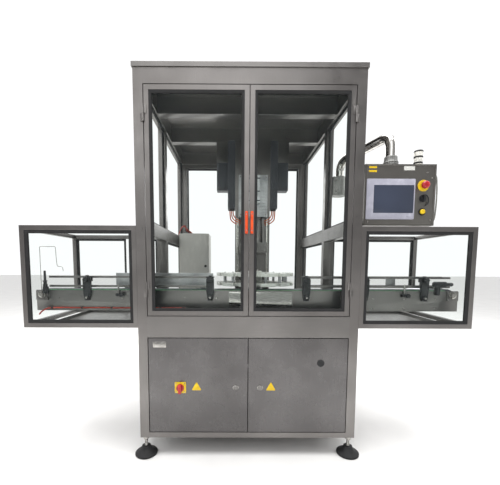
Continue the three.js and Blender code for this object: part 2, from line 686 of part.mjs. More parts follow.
// The arm: a vertical leg in the pivot, an elbow, a run forward, an elbow and a leg into the collar.
const runZ = boxTop + 178;
const elbow = 75;
const runDirection = new THREE.Vector3(armX - pivotX, armY - pivotY, 0).normalize();
const pivotCorner = new THREE.Vector3(pivotX, pivotY, runZ);
const collarCorner = new THREE.Vector3(armX, armY, runZ);
const straight = (from, to) => new THREE.LineCurve3(from, to);
const down = new THREE.Vector3(0, 0, -elbow);
const inward = runDirection.clone().multiplyScalar(elbow);
const pivotStart = new THREE.Vector3(pivotX, pivotY, pivotTop);
const collarEnd = new THREE.Vector3(armX, armY, boxTop + collarHeight - 1);
const route = new THREE.CurvePath();
route.add(straight(pivotStart, pivotCorner.clone().add(down)));
route.add(new THREE.QuadraticBezierCurve3(
  pivotCorner.clone().add(down), pivotCorner, pivotCorner.clone().add(inward)));
route.add(straight(pivotCorner.clone().add(inward), collarCorner.clone().sub(inward)));
route.add(new THREE.QuadraticBezierCurve3(
  collarCorner.clone().sub(inward), collarCorner, collarCorner.clone().add(down)));
route.add(straight(collarCorner.clone().add(down), collarEnd));
const pipeSection = new THREE.Shape().absarc(0, 0, pipeRadius, 0, 2 * Math.PI);
add('pendant_arm', join(
  new THREE.ExtrudeGeometry(pipeSection,
    { extrudePath: route, steps: 26, curveSegments: 7, bevelEnabled: false }),
  bar(40, [armX, armY, boxTop + fit], [armX, armY, boxTop + collarHeight], 28),
  bar(30, [pivotX, pivotY, pivotTop - 50], [pivotX, pivotY, pivotTop + 1], 28),
), steel());

add('arm_pivot', cut(join(
  bar(48, [pivotX, pivotY, pivotBottom], [pivotX, pivotY, pivotTop - fit], 28),
  box([halfWidth, pivotX], [pivotY - 40, pivotY + 40], [pivotBottom, pivotTop - fit]),
), bar(30 + 2 * fit, [pivotX, pivotY, pivotTop - 50 - fit], [pivotX, pivotY, pivotTop + 1], 28)), aluminium());

// The box's own lead leaves it near the top, bows out and comes back in near the bottom.
const bow = new THREE.CatmullRomCurve3([
  [0, 0], [6, 0], [19, -2.6], [30, -10], [37.4, -21], [40.6, -34], [43.4, -62], [45.4, -98],
  [46, -137.5], [45.4, -177], [43.4, -213], [40.6, -241], [37.4, -254], [30, -265], [19, -272.4],
  [6, -275], [0, -275],
].map(([out, up]) => new THREE.Vector3(boxRight + cableGap + out, cableY, cableTopZ + up)));
const cableSection = new THREE.Shape().absarc(0, 0, cableRadius, 0, 2 * Math.PI);
add('control_cable', new THREE.ExtrudeGeometry(cableSection,
  { extrudePath: bow, steps: 32, curveSegments: 4, bevelEnabled: false }), cableGrey());

export default machine;
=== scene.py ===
"""Capping machine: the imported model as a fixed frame, with its finishes and its finer pieces round it."""
import json
import math

import bmesh
import bpy
import numpy as np
from mathutils import Matrix, Vector


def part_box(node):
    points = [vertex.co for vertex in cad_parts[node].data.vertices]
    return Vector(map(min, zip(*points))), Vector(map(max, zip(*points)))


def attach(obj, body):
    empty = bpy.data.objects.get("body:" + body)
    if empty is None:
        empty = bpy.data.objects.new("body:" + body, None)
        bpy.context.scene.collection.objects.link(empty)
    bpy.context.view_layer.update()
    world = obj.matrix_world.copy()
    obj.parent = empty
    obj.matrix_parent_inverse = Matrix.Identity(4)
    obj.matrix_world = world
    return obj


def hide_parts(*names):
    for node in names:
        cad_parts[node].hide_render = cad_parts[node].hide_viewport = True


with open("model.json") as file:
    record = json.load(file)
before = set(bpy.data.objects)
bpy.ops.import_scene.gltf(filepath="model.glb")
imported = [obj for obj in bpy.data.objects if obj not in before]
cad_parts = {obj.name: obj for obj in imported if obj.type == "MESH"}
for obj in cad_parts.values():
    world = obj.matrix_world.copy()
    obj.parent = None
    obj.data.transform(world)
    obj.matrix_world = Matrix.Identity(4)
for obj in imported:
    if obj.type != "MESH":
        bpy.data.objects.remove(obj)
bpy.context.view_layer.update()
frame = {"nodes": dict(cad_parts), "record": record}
BODY_OF = {node: body for body, nodes in frame["record"]["behaviour"]["bodies"].items() for node in nodes}
MM = 0.001
SIDES = ((-1, "left"), (1, "right"))

# ---- camera ------------------------------------------------------------------------------------
SENSOR_WIDTH, FOCAL_LENGTH = 36, 21.744     # millimetres
SHIFT = (0.0314, 0.0966)       # how far the view is moved off the lens axis, in widths of the view
EYE = Vector((-0.082, -2.262, 1.071))
YAW, PITCH, ROLL = (math.radians(v) for v in (0.17, -4.77, 0.22))


def make_camera():
    """A wide lens in front of the doors: ahead turned by yaw and pitch, up turned by roll."""
    ahead = Vector((math.sin(YAW) * math.cos(PITCH), math.cos(YAW) * math.cos(PITCH), math.sin(PITCH)))
    right = ahead.cross(Vector((0, 0, 1))).normalized()
    up = right.cross(ahead)
    right, up = (right * math.cos(ROLL) + up * math.sin(ROLL), up * math.cos(ROLL) - right * math.sin(ROLL))
    data = bpy.data.cameras.new("camera")
    data.sensor_width, data.lens = SENSOR_WIDTH, FOCAL_LENGTH
    data.shift_x, data.shift_y = SHIFT
    camera = bpy.data.objects.new("camera", data)
    turn = Matrix((right, up, -ahead)).transposed().to_4x4()
    camera.matrix_world = Matrix.Translation(EYE) @ turn
    bpy.context.collection.objects.link(camera)
    bpy.context.scene.camera = camera


make_camera()


# ---- materials ---------------------------------------------------------------------------------
def linear(code):
    """An sRGB hex colour as linear RGBA."""
    values = [int(code[i:i + 2], 16) / 255 for i in (1, 3, 5)]
    return (*[v / 12.92 if v <= 0.04045 else ((v + 0.055) / 1.055) ** 2.4 for v in values], 1)


def node(tree, kind, sockets=None, **settings):
    """Adds a node. A socket's value is a number, a colour, a vector or another node's output."""
    made = tree.nodes.new("ShaderNode" + kind)
    for name, value in settings.items():
        setattr(made, name, value)
    for name, value in (sockets or {}).items():
        if isinstance(value, bpy.types.NodeSocket):
            tree.links.new(value, made.inputs[name])
        else:
            made.inputs[name].default_value = value
    return made


def new_material(name):
    """An empty material, its tree, and Object coordinates in metres."""
    material = bpy.data.materials.new(name)
    material.use_nodes = True
    tree = material.node_tree
    tree.nodes.clear()
    place = node(tree, "TexCoord").outputs["Object"]
    return material, tree, place


def finish_material(tree, shader, bump=None):
    tree.links.new(shader.outputs[0], node(tree, "OutputMaterial").inputs["Surface"])
    if bump is not None:
        tree.links.new(bump.outputs[0], shader.inputs["Normal"])


def noise(tree, place, scale, stretch=(1, 1, 1), detail=4, roughness=0.55):
    """Noise that repeats about every 1/scale metres, drawn out along the axes with a small stretch."""
    mapping = node(tree, "Mapping", {"Vector": place, "Scale": stretch})
    return node(tree, "TexNoise", {"Vector": mapping.outputs[0], "Scale": scale, "Detail": detail,
                                   "Roughness": roughness}).outputs["Fac"]


def ramp(tree, fac, low, high, low_out, high_out):
    """Maps low..high to two values."""
    return node(tree, "MapRange", {"Value": fac, "From Min": low, "From Max": high, "To Min": low_out,
                                   "To Max": high_out}).outputs[0]


def blend(tree, fac, first, second):
    """Mixes two colours, or a colour and a node's colour."""
    mix = tree.nodes.new("ShaderNodeMix")
    mix.data_type = "RGBA"
    for socket, value in zip((mix.inputs[0], mix.inputs[6], mix.inputs[7]), (fac, first, second)):
        if isinstance(value, bpy.types.NodeSocket):
            tree.links.new(value, socket)
        else:
            socket.default_value = value
    return mix.outputs[2]


def brushed_steel(name, pale, dark, grain, rough=0.3, smudge=0.14):
    """Stainless sheet brushed with a belt: fine grain along one axis, a wide soft gleam, and the
    faint clouds that cleaning cloths leave. The real grain is about 0.1 mm; it is drawn at about
    1.5 mm so that it shows."""
    material, tree, place = new_material(name)
    lines = noise(tree, place, 650, [0.012 if axis == grain else 1 for axis in "xyz"], 3)
    clouds = noise(tree, place, 2.2, detail=2)
    hands = noise(tree, place, 12, detail=4, roughness=0.6)
    tone = blend(tree, ramp(tree, clouds, 0.3, 0.7, 0, 1), linear(dark), linear(pale))
    tone = blend(tree, ramp(tree, lines, 0.3, 0.7, 0, 0.3), tone, linear(dark))
    shine = node(tree, "Math", {0: ramp(tree, hands, 0.35, 0.75, rough, rough + smudge),
                                1: ramp(tree, lines, 0.3, 0.7, -0.04, 0.04)}, operation="ADD").outputs[0]
    shader = node(tree, "BsdfPrincipled", {"Base Color": tone, "Metallic": 1, "Roughness": shine})
    finish_material(tree, shader, node(tree, "Bump", {"Height": lines, "Strength": 0.10,
                                                      "Distance": 0.0004}))
    return material


def cast_metal(name, pale, dark, rough, grit=900):
    """Cast or machined aluminium: a fine even grit and slow changes of tone."""
    material, tree, place = new_material(name)
    fine = noise(tree, place, grit, detail=3)
    tone = blend(tree, ramp(tree, noise(tree, place, 12), 0.35, 0.65, 0, 1), linear(dark), linear(pale))
    shader = node(tree, "BsdfPrincipled", {"Base Color": tone, "Metallic": 1,
                                           "Roughness": ramp(tree, fine, 0.3, 0.7, rough, rough + 0.12)})
    finish_material(tree, shader, node(tree, "Bump", {"Height": fine, "Strength": 0.12,
                                                      "Distance": 0.0005}))
    return material


def polished_metal(name, pale, dark, rough):
    """Polished pipe and plated parts: nearly a mirror, with faint scratches round them."""
    material, tree, place = new_material(name)
    marks = noise(tree, place, 60, (1, 1, 8), 5)
    tone = blend(tree, ramp(tree, marks, 0.35, 0.65, 0, 1), linear(dark), linear(pale))
    shader = node(tree, "BsdfPrincipled", {"Base Color": tone, "Metallic": 1,
                                           "Roughness": ramp(tree, marks, 0.3, 0.7, rough, rough + 0.1)})
    finish_material(tree, shader)
    return material


def moulded(name, pale, dark, rough, texture=1200, bump=0.08, coat=0.0):
    """Moulded plastic: a spark-eroded texture of about 1 mm, and paler rubbed places."""
    material, tree, place = new_material(name)
    fine = noise(tree, place, texture, detail=2)
    rubbed = noise(tree, place, 25, detail=4)
    tone = blend(tree, ramp(tree, rubbed, 0.45, 0.75, 0, 1), linear(dark), linear(pale))
    shader = node(tree, "BsdfPrincipled", {"Base Color": tone, "Coat Weight": coat,
                                           "Roughness": ramp(tree, rubbed, 0.3, 0.7, rough, rough + 0.15)})
    finish_material(tree, shader, node(tree, "Bump", {"Height": fine, "Strength": bump,
                                                      "Distance": 0.0004}))
    return material


def painted(name, pale, dark, rough):
    """Baked enamel on sheet: orange-peel of about 3 mm and light scuffs."""
    material, tree, place = new_material(name)
    peel = noise(tree, place, 320, detail=1)
    scuffs = noise(tree, place, 30, (1, 1, 0.3), 6, 0.7)
    tone = blend(tree, ramp(tree, scuffs, 0.5, 0.8, 0, 1), linear(dark), linear(pale))
    shader = node(tree, "BsdfPrincipled", {"Base Color": tone,
                                           "Roughness": ramp(tree, scuffs, 0.4, 0.7, rough, rough + 0.2)})
    finish_material(tree, shader, node(tree, "Bump", {"Height": peel, "Strength": 0.1,
                                                      "Distance": 0.0005}))
    return material


def clear_pane(name, tint, haze=0.01):
    """Clear polycarbonate sheet: it lets the lamps through and mirrors only at a glancing angle."""
    material, tree, place = new_material(name)
    wiped = noise(tree, place, 9, (1, 1, 0.4), 4)
    through = node(tree, "BsdfTransparent", {"Color": linear(tint)})
    gloss = node(tree, "BsdfPrincipled", {"Base Color": linear("#c9d2d4"), "Metallic": 0,
                                          "Roughness": ramp(tree, wiped, 0.3, 0.7, 0.03, 0.1)})
    edge = ramp(tree, node(tree, "Fresnel", {"IOR": 1.3}).outputs[0], 0, 1, 0, 0.5)
    share = node(tree, "Math", {0: edge, 1: ramp(tree, wiped, 0.4, 0.7, 0.0, haze)}, operation="ADD")
    mix = node(tree, "MixShader", {0: share.outputs[0]})
    tree.links.new(through.outputs[0], mix.inputs[1])
    tree.links.new(gloss.outputs[0], mix.inputs[2])
    finish_material(tree, mix)
    return material


def lit_screen(name, base, glow):
    """A touch screen that is on: dark glass with an even glow that shifts slowly across it."""
    material, tree, place = new_material(name)
    shift = noise(tree, place, 5, detail=0)
    tone = blend(tree, ramp(tree, shift, 0.3, 0.7, 0, 1), linear(base), linear(glow))
    shader = node(tree, "BsdfPrincipled", {"Base Color": tone, "Roughness": 0.12, "Coat Weight": 0.3,
                                           "Emission Color": tone, "Emission Strength": 0.12})
    finish_material(tree, shader)
    return material


# ---- shapes ------------------------------------------------------------------------------------
FACING = {  # (across, up, out) of a flat piece that faces that way
    "front": ((1, 0, 0), (0, 0, 1), (0, -1, 0)), "back": ((-1, 0, 0), (0, 0, 1), (0, 1, 0)),
    "up": ((1, 0, 0), (0, 1, 0), (0, 0, 1)), "down": ((-1, 0, 0), (0, 1, 0), (0, 0, -1)),
    "right": ((0, 1, 0), (0, 0, 1), (1, 0, 0)),
}
SHARP = math.radians(34)


def mm(pairs):
    """Pairs of millimetres as pairs of metres."""
    return [(first * MM, second * MM) for first, second in pairs]


def link_piece(name, mesh, body, material):
    """Puts a finished mesh in the scene at the origin, on its body, with sharp edges kept sharp and
    with its finish as its one material."""
    mesh.materials.clear()
    mesh.materials.append(material)
    mesh.polygons.foreach_set("use_smooth", np.ones(len(mesh.polygons), dtype=bool))
    mesh.set_sharp_from_angle(angle=SHARP)
    piece = bpy.data.objects.new(name, mesh)
    bpy.context.collection.objects.link(piece)
    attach(piece, body)
    return piece


def build(name, points, faces, body, material):
    """A piece from an array of points and a list of faces."""
    mesh = bpy.data.meshes.new(name)
    mesh.from_pydata(np.asarray(points, dtype=float).reshape(-1, 3).tolist(), [], faces)
    shape = bmesh.new()
    shape.from_mesh(mesh)
    bmesh.ops.recalc_face_normals(shape, faces=shape.faces)
    shape.to_mesh(mesh)
    shape.free()
    return link_piece(name, mesh, body, material)


def grid_faces(rows, columns, closed_rows=False):
    """Quads between neighbouring rings of a grid whose columns run round and close."""
    top = rows if closed_rows else rows - 1
    row, column = np.meshgrid(np.arange(top), np.arange(columns), indexing="ij")
    after, beside = (row + 1) % rows, (column + 1) % columns
    corners = (row * columns + column, row * columns + beside, after * columns + beside,
               after * columns + column)
    return np.stack(corners, axis=-1).reshape(-1, 4).tolist()


def capped(rings):
    """Points and faces of a stack of rings, closed by a face at each end."""
    rows, columns = rings.shape[:2]
    faces = grid_faces(rows, columns)
    faces.append(list(range(columns))[::-1])
    faces.append(list(range((rows - 1) * columns, rows * columns)))
    return rings.reshape(-1, 3), faces


def several(name, parts, body, material):
    """One piece from many (points, faces) pairs."""
    points, faces, count = [], [], 0
    for part_points, part_faces in parts:
        points.append(np.asarray(part_points).reshape(-1, 3))
        faces += [[index + count for index in face] for face in part_faces]
        count += len(points[-1])
    return build(name, np.concatenate(points), faces, body, material)


def turned_shape(profile, centre, facing="up", sides=48, flutes=0, depth=0.0):
    """A profile of (radius, out) turned once round an axis: centre + out*w + radius*(u cos a + v sin a),
    the radius drawn in by `depth` between the flutes. It is closed by a small face at each end."""
    u, v, w = (np.array(a, dtype=float) for a in FACING[facing])
    angle = np.arange(sides) * 2 * math.pi / sides
    lobes = 1 - depth * (1 - np.cos(flutes * angle)) / 2
    circle = (np.cos(angle) * lobes)[:, None] * u + (np.sin(angle) * lobes)[:, None] * v
    radius, out = np.array(profile, dtype=float).T
    return capped(np.array(centre) + out[:, None, None] * w + radius[:, None, None] * circle[None])


def rounded_outline(width, height, corner, steps=6):
    """A rectangle with quarter-circle corners: centre of each corner + corner*(cos a, sin a)."""
    corner = max(min(corner, width / 2 - 1e-5, height / 2 - 1e-5), 1e-5)
    angle = (np.arange(4)[:, None] * 90 + np.linspace(0, 90, steps)[None]) * math.pi / 180
    signs = np.array([(1, 1), (-1, 1), (-1, -1), (1, -1)])
    middle = signs * np.array([width / 2 - corner, height / 2 - corner])
    arc = np.stack([np.cos(angle), np.sin(angle)], axis=-1) * corner
    return (middle[:, None] + arc).reshape(-1, 2)


def plate_shape(centre, size, thickness, facing="front", corner=0.003, soft=0.0008):
    """A flat plate whose outline is drawn in by `soft` at both faces, so that its edges are eased.
    centre is the middle of its back face."""
    u, v, w = (np.array(a, dtype=float) for a in FACING[facing])
    levels = [(soft, 0), (0.3 * soft, 0.3 * soft), (0, soft), (0, thickness - soft),
              (0.3 * soft, thickness - 0.3 * soft), (soft, thickness)]
    rings = []
    for inset, out in levels:
        outline = rounded_outline(size[0] - 2 * inset, size[1] - 2 * inset, corner - inset)
        rings.append(np.array(centre) + outline[:, :1] * u + outline[:, 1:] * v + out * w)
    return capped(np.array(rings))


def plate(name, body, material, *shape, **more):
    return build(name, *plate_shape(*shape, **more), body, material)


def turned_piece(name, body, material, *shape, **more):
    return build(name, *turned_shape(*shape, **more), body, material)


def block_shape(low, high, soft=0.001, facing="front"):
    """A box between two corners with eased edges, as a plate."""
    low, high = np.minimum(low, high), np.maximum(low, high)
    u, v, w = (np.array(a, dtype=float) for a in FACING[facing])
    size = high - low
    centre = (low + high) / 2 - w * (abs(w) @ size) / 2
    return plate_shape(centre, (abs(u) @ size, abs(v) @ size), float(abs(w) @ size), facing, 2 * soft, soft)


def smooth_path(points, steps=8):
    """A Catmull-Rom curve through the points, which is four cubic weights on each four of them."""
    p = np.array(points, dtype=float)
    p = np.concatenate([2 * p[:1] - p[1:2], p, 2 * p[-1:] - p[-2:-1]])
    t = np.linspace(0, 1, steps, endpoint=False)[:, None, None]
    a, b, c, d = p[:-3], p[1:-2], p[2:-1], p[3:]
    curve = 0.5 * (2 * b + (c - a) * t + (2 * a - 5 * b + 4 * c - d) * t ** 2
                   + (3 * b - a - 3 * c + d) * t ** 3)
    return np.concatenate([curve.transpose(1, 0, 2).reshape(-1, 3), p[-2:-1]])


def tube_shape(path, radius, sides=16, reference=(0, 0, 1)):
    """A round section carried along a path: path + radius*(side cos a + up sin a), where side is
    square to the path and to the reference."""
    path = np.asarray(path, dtype=float)
    along = np.gradient(path, axis=0)
    along /= np.linalg.norm(along, axis=1)[:, None]
    side = np.cross(along, np.array(reference, dtype=float))
    side /= np.linalg.norm(side, axis=1)[:, None]
    up = np.cross(side, along)
    angle = np.arange(sides) * 2 * math.pi / sides
    radius = np.broadcast_to(radius, len(path))[:, None, None]
    ring = side[:, None] * np.cos(angle)[:, None] + up[:, None] * np.sin(angle)[:, None]
    return capped(path[:, None] + radius * ring)


def screw_shape(centre, radius, facing="front", height=None):
    """A domed head: its radius falls off as a quarter ellipse, with a small hexagon socket."""
    height = height or 0.55 * radius
    profile = [(radius, 0), (radius, 0.4 * height), (0.86 * radius, 0.8 * height), (0.6 * radius, height),
               (0.42 * radius, height), (0.4 * radius, 0.45 * height)]
    return turned_shape(profile, centre, facing, 12)


def four_round(x, y, z, across, up):
    """The four corners round a place, for screws on a face that looks forward."""
    return [(x + a * across, y, z + b * up) for a in (-1, 1) for b in (-1, 1)]


def screws(name, body, centres, radius, facing="front"):
    return several(name, [screw_shape(c, radius, facing) for c in centres], body, BOLT)


def softened(name, material, width=1.2, segments=2, merged=True):
    """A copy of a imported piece: its triangles merged back into faces, its edges rounded over. The
    cages keep their triangles, because their open sides would be merged into faces with holes."""
    mesh = frame["nodes"][name].data.copy()
    shape = bmesh.new()
    shape.from_mesh(mesh)
    bmesh.ops.remove_doubles(shape, verts=shape.verts, dist=1e-5)
    if merged:
        bmesh.ops.dissolve_limit(shape, angle_limit=math.radians(0.6), verts=shape.verts, edges=shape.edges)
    shape.to_mesh(mesh)
    shape.free()
    piece = link_piece(name + "_finished", mesh, BODY_OF[name], material)
    rounding = piece.modifiers.new("rounding", "BEVEL")
    rounding.width = width * MM
    rounding.segments = segments
    rounding.limit_method = "ANGLE"
    rounding.angle_limit = SHARP
    rounding.harden_normals = True
    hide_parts(name)
    return piece


# ---- finishes ----------------------------------------------------------------------------------
STEEL_ACROSS = brushed_steel("brushed_stainless_across", "#8d8a88", "#72706e", "x")
STEEL_UPRIGHT = brushed_steel("brushed_stainless_upright", "#8a8785", "#706d6b", "z")
STEEL_DEEP = brushed_steel("brushed_stainless_from_front_to_back", "#8a8785", "#706d6b", "y")
DOOR_SHEET = brushed_steel("wiped_stainless_sheet", "#716f6f", "#5a5858", "z", 0.22, 0.18)
BOX_SHEET = brushed_steel("grey_stainless_box_sheet", "#86847f", "#6f6c68", "z", 0.34, 0.12)
ALUMINIUM = cast_metal("anodised_aluminium", "#c9cacb", "#a2a3a5", 0.3)
CASTING = cast_metal("cast_aluminium_gravity_die", "#a9a9a6", "#7f7f7d", 0.48, 500)
PIPE = polished_metal("polished_stainless_pipe", "#d8d6d2", "#b5b2ad", 0.08)
BOLT = polished_metal("plated_steel_screw", "#c4c2be", "#94918c", 0.18)
CHAIN = moulded("dark_acetal_chain_plate", "#5b5d62", "#34363b", 0.4)
BLACK = moulded("black_glass_filled_nylon", "#2b2c2f", "#141517", 0.42)
RUBBER = moulded("black_nitrile_rubber", "#232325", "#0f0f10", 0.62, 600, 0.15)
WHITE = moulded("white_polyethylene_sheet", "#eeeeea", "#dcdcd6", 0.38)
LENS = moulded("milky_polycarbonate_lens", "#f4f3ee", "#e4e2da", 0.3, coat=0.3)
ORANGE = moulded("orange_nylon_handle", "#f4601b", "#d9430a", 0.32, coat=0.2)
RED = moulded("red_acrylonitrile_plastic", "#d5222c", "#a5121d", 0.28, coat=0.3)
YELLOW = moulded("yellow_acrylonitrile_plastic", "#f2d21f", "#dcb70e", 0.34)
GREEN = moulded("green_wear_strip_polyethylene", "#3f9a58", "#2c7a43", 0.45)
DARK_BOX = painted("dark_grey_powder_coat", "#55575d", "#3c3e44", 0.42)
PALE_BOX = painted("pale_grey_powder_coat", "#d2d0ca", "#bfbdb8", 0.42)
LABEL = painted("blank_white_vinyl_label", "#dfdfdb", "#cfcfca", 0.5)
BEZEL = moulded("lilac_grey_panel_moulding", "#b2b2be", "#9d9daa", 0.4)
SCREEN = lit_screen("touch_glass", "#2b3140", "#363d4e")
CABLE = moulded("grey_cable_sheath", "#a2a29c", "#85857f", 0.5, 500)
ORANGE_CABLE = moulded("orange_motor_cable_sheath", "#e8691e", "#c24f0c", 0.45, 500)
HOSE = moulded("red_polyurethane_hose", "#c9422c", "#9c2c1a", 0.35, 500)
PANE = clear_pane("clear_polycarbonate_pane", "#fafcfb", 0.004)

for name in ("frame_front", "frame_rear", "column", "cabinet_shell"):
    softened(name, STEEL_UPRIGHT, 3 if name.startswith("frame") else 1.5)
for name in ("frame_side_left", "frame_side_right"):
    softened(name, STEEL_DEEP, 2)
for name in ("guard_left_cage", "guard_right_cage"):
    softened(name, STEEL_DEEP, 2, merged=False)
for name in ("roof", "table", "conveyor_body"):
    softened(name, STEEL_ACROSS, 1.5)
for name in ("door_left_frame", "door_right_frame", "guard_left_front", "guard_right_front"):
    softened(name, STEEL_UPRIGHT, 2)
for name in ("cabinet_door_left", "cabinet_door_right"):
    softened(name, DOOR_SHEET, 0.9)
for name in ("rail_front_left", "rail_front_right", "rail_rear_right", "cabinet_latch_left",
             "cabinet_latch_right", "head_carriage"):
    softened(name, STEEL_ACROSS, 1)
softened("control_box", BOX_SHEET, 2.5, 3)
for name in ("rail_rear_left", "lift_drive", "chuck", "conveyor_gearmotor", "starwheel_drive"):
    softened(name, ALUMINIUM, 1)
softened("arm_pivot", CASTING, 3, 3)
for name in ("idler_shaft", "drive_shaft"):
    softened(name, BOLT, 0.8)
for index in range(1, 6):
    softened(f"rail_bracket_{index}", BLACK, 2, 3)
softened("starwheel", WHITE, 1.2)
for name in ("junction_box_left", "junction_box_right"):
    softened(name, DARK_BOX, 3, 3)
softened("cap_feeder", PALE_BOX, 3, 3)
softened("selector", BLACK, 1)
softened("push_button", YELLOW, 1)
softened("emergency_stop", RED, 2, 3)
softened("isolator_knob", RED, 2, 3)
for name in ("door_left_handle", "door_right_handle"):
    softened(name, ORANGE, 3, 3)
for name in ("door_left_glass", "door_right_glass", "guard_left_window", "guard_right_window"):
    softened(name, PANE, 0.5, 1)


# ---- finer pieces ------------------------------------------------------------------------------
def edges(name):
    """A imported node's limits along x, y and z in metres: lowest and highest corner."""
    low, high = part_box(name)
    return np.array(low), np.array(high)


def joint_at(name):
    for joint in frame["record"]["behaviour"]["joints"]:
        if joint["name"] == name:
            return np.array(joint["pos_m"])
    raise KeyError(name)


def rim_shape(u_range, v_range, back, profile, facing="front"):
    """A closed profile of (inward, out) carried round a rectangle with mitred corners: each corner
    + inward*(its own diagonal) in the plane, and `back` + out along the facing axis."""
    u, v, w = (np.array(a, dtype=float) for a in FACING[facing])
    corners = np.array([(u_range[0], v_range[0]), (u_range[1], v_range[0]),
                        (u_range[1], v_range[1]), (u_range[0], v_range[1])])
    inwards = np.array([(1, 1), (-1, 1), (-1, -1), (1, -1)])
    inward, out = np.array(profile, dtype=float).T
    plan = corners[:, None] + inwards[:, None] * inward[None, :, None]
    back_along = float(np.dot(back, w))
    rings = plan[..., :1] * u + plan[..., 1:] * v + (back_along + out)[None, :, None] * w
    return rings.reshape(-1, 3), grid_faces(4, len(profile), closed_rows=True)


def bead(width, height):
    """The section of a rubber glazing bead: flat behind, leaning in towards the pane."""
    return [(0, 0), (0, height), (0.3 * width, height), (0.8 * width, 0.6 * height), (width, 0.2 * height),
            (width, 0)]


def flipped(profile):
    return [(inward, -out) for inward, out in reversed(profile)]


def make_seals():
    """Black beads round every pane, in front of it and behind it, and round the open windows."""
    for pane, width in (("door_left_glass", 15), ("door_right_glass", 15),
                        ("guard_left_window", 17), ("guard_right_window", 17)):
        low, high = edges(pane)
        x, z = (low[0], high[0]), (low[2], high[2])
        front = rim_shape(x, z, (0, low[1], 0), mm(bead(width, 6.5)))
        behind = rim_shape(x, z, (0, high[1], 0), mm(flipped(bead(width, 10))))
        several(pane.rsplit("_", 1)[0] + "_seal", [front, behind], BODY_OF[pane], RUBBER)

    beads = mm(bead(14, 12))
    rear_low, rear_high = edges("frame_rear")
    deck = edges("table")[1][2]
    inner_x = edges("door_right_frame")[1][0] - 0.004
    header = edges("column")[1][2]
    rim = 0.036
    half = inner_x - rim
    ring = rim_shape((-half, half), (deck + rim, header - rim), (0, rear_low[1] + 0.03, 0), beads, "front")
    build("rear_opening_seal", *ring, "frame", RUBBER)

    guard_back = edges("guard_left_cage")[1][1]
    rail_low = edges("guard_left_cage")[1][2] - 0.041
    rail_high = rail_low + 0.080
    post, half_post = guard_back - 0.020, 0.025
    front_inner, rear_inner = -rear_low[1], rear_low[1]
    ahead, behind = (front_inner, post - half_post), (post + half_post, rear_inner)
    windows = ((ahead, (rail_high, header)), (behind, (rail_high, header)), (behind, (deck, rail_low)))
    for side, word in SIDES:
        middle = side * (rear_high[0] - 0.030)
        parts = [rim_shape(y, z, (middle, 0, 0), beads, "right") for y, z in windows]
        several(f"side_{word}_seal", parts, "frame", RUBBER)

    for side, word in SIDES:
        low, high = edges(f"guard_{word}_front")
        bar = 0.025
        x = (low[0] + bar, high[0] - bar)
        z = (low[2] + bar, high[2] - bar)
        ranges = [x]
        if side < 0:
            divider = high[0] - 0.36 * (high[0] - low[0])
            ranges = [(x[0], divider - bar), (divider, x[1])]
        parts = [rim_shape(r, z, (0, guard_back - 0.006, 0), beads, "front") for r in ranges]
        several(f"guard_{word}_rear_seal", parts, "frame", RUBBER)


def make_feet():
    """A moulded pad that swells at its rim, a threaded stem, a lock nut and a steel washer."""
    for corner in ("front_left", "front_right", "rear_left", "rear_right"):
        low, high = edges("foot_" + corner)
        x, y, _ = (low + high) / 2
        pad = [(1, 0), (58, 0), (61, 2), (62, 6), (61.5, 11), (58, 14.5), (46, 19), (36, 27), (28, 38),
               (25, 43), (24, 49), (20, 50), (1, 50)]
        piece = turned_piece(f"foot_{corner}_pad", "frame", RUBBER, mm(pad), (x, y, 0), sides=64)
        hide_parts("foot_" + corner)
        pitch = 2.5
        threads = [(8.2 + 0.8 * (step % 2), 50.5 + step * pitch / 2) for step in range(30)]
        stem = [(1, 50), *threads, (9, 88.5), (1, 88.5)]
        turned_piece(f"foot_{corner}_stem", "frame", BOLT, mm(stem), (x, y, 0))
        nut = [(1, 89), (15.5, 89), (17, 90.5), (17, 98.5), (15.5, 100), (1, 100)]
        collar = [(1, 100), (19, 100), (19, 107.5), (1, 107.5)]
        parts = [turned_shape(mm(nut), (x, y, 0), sides=6), turned_shape(mm(collar), (x, y, 0))]
        several(f"foot_{corner}_nut", parts, "frame", BOLT)


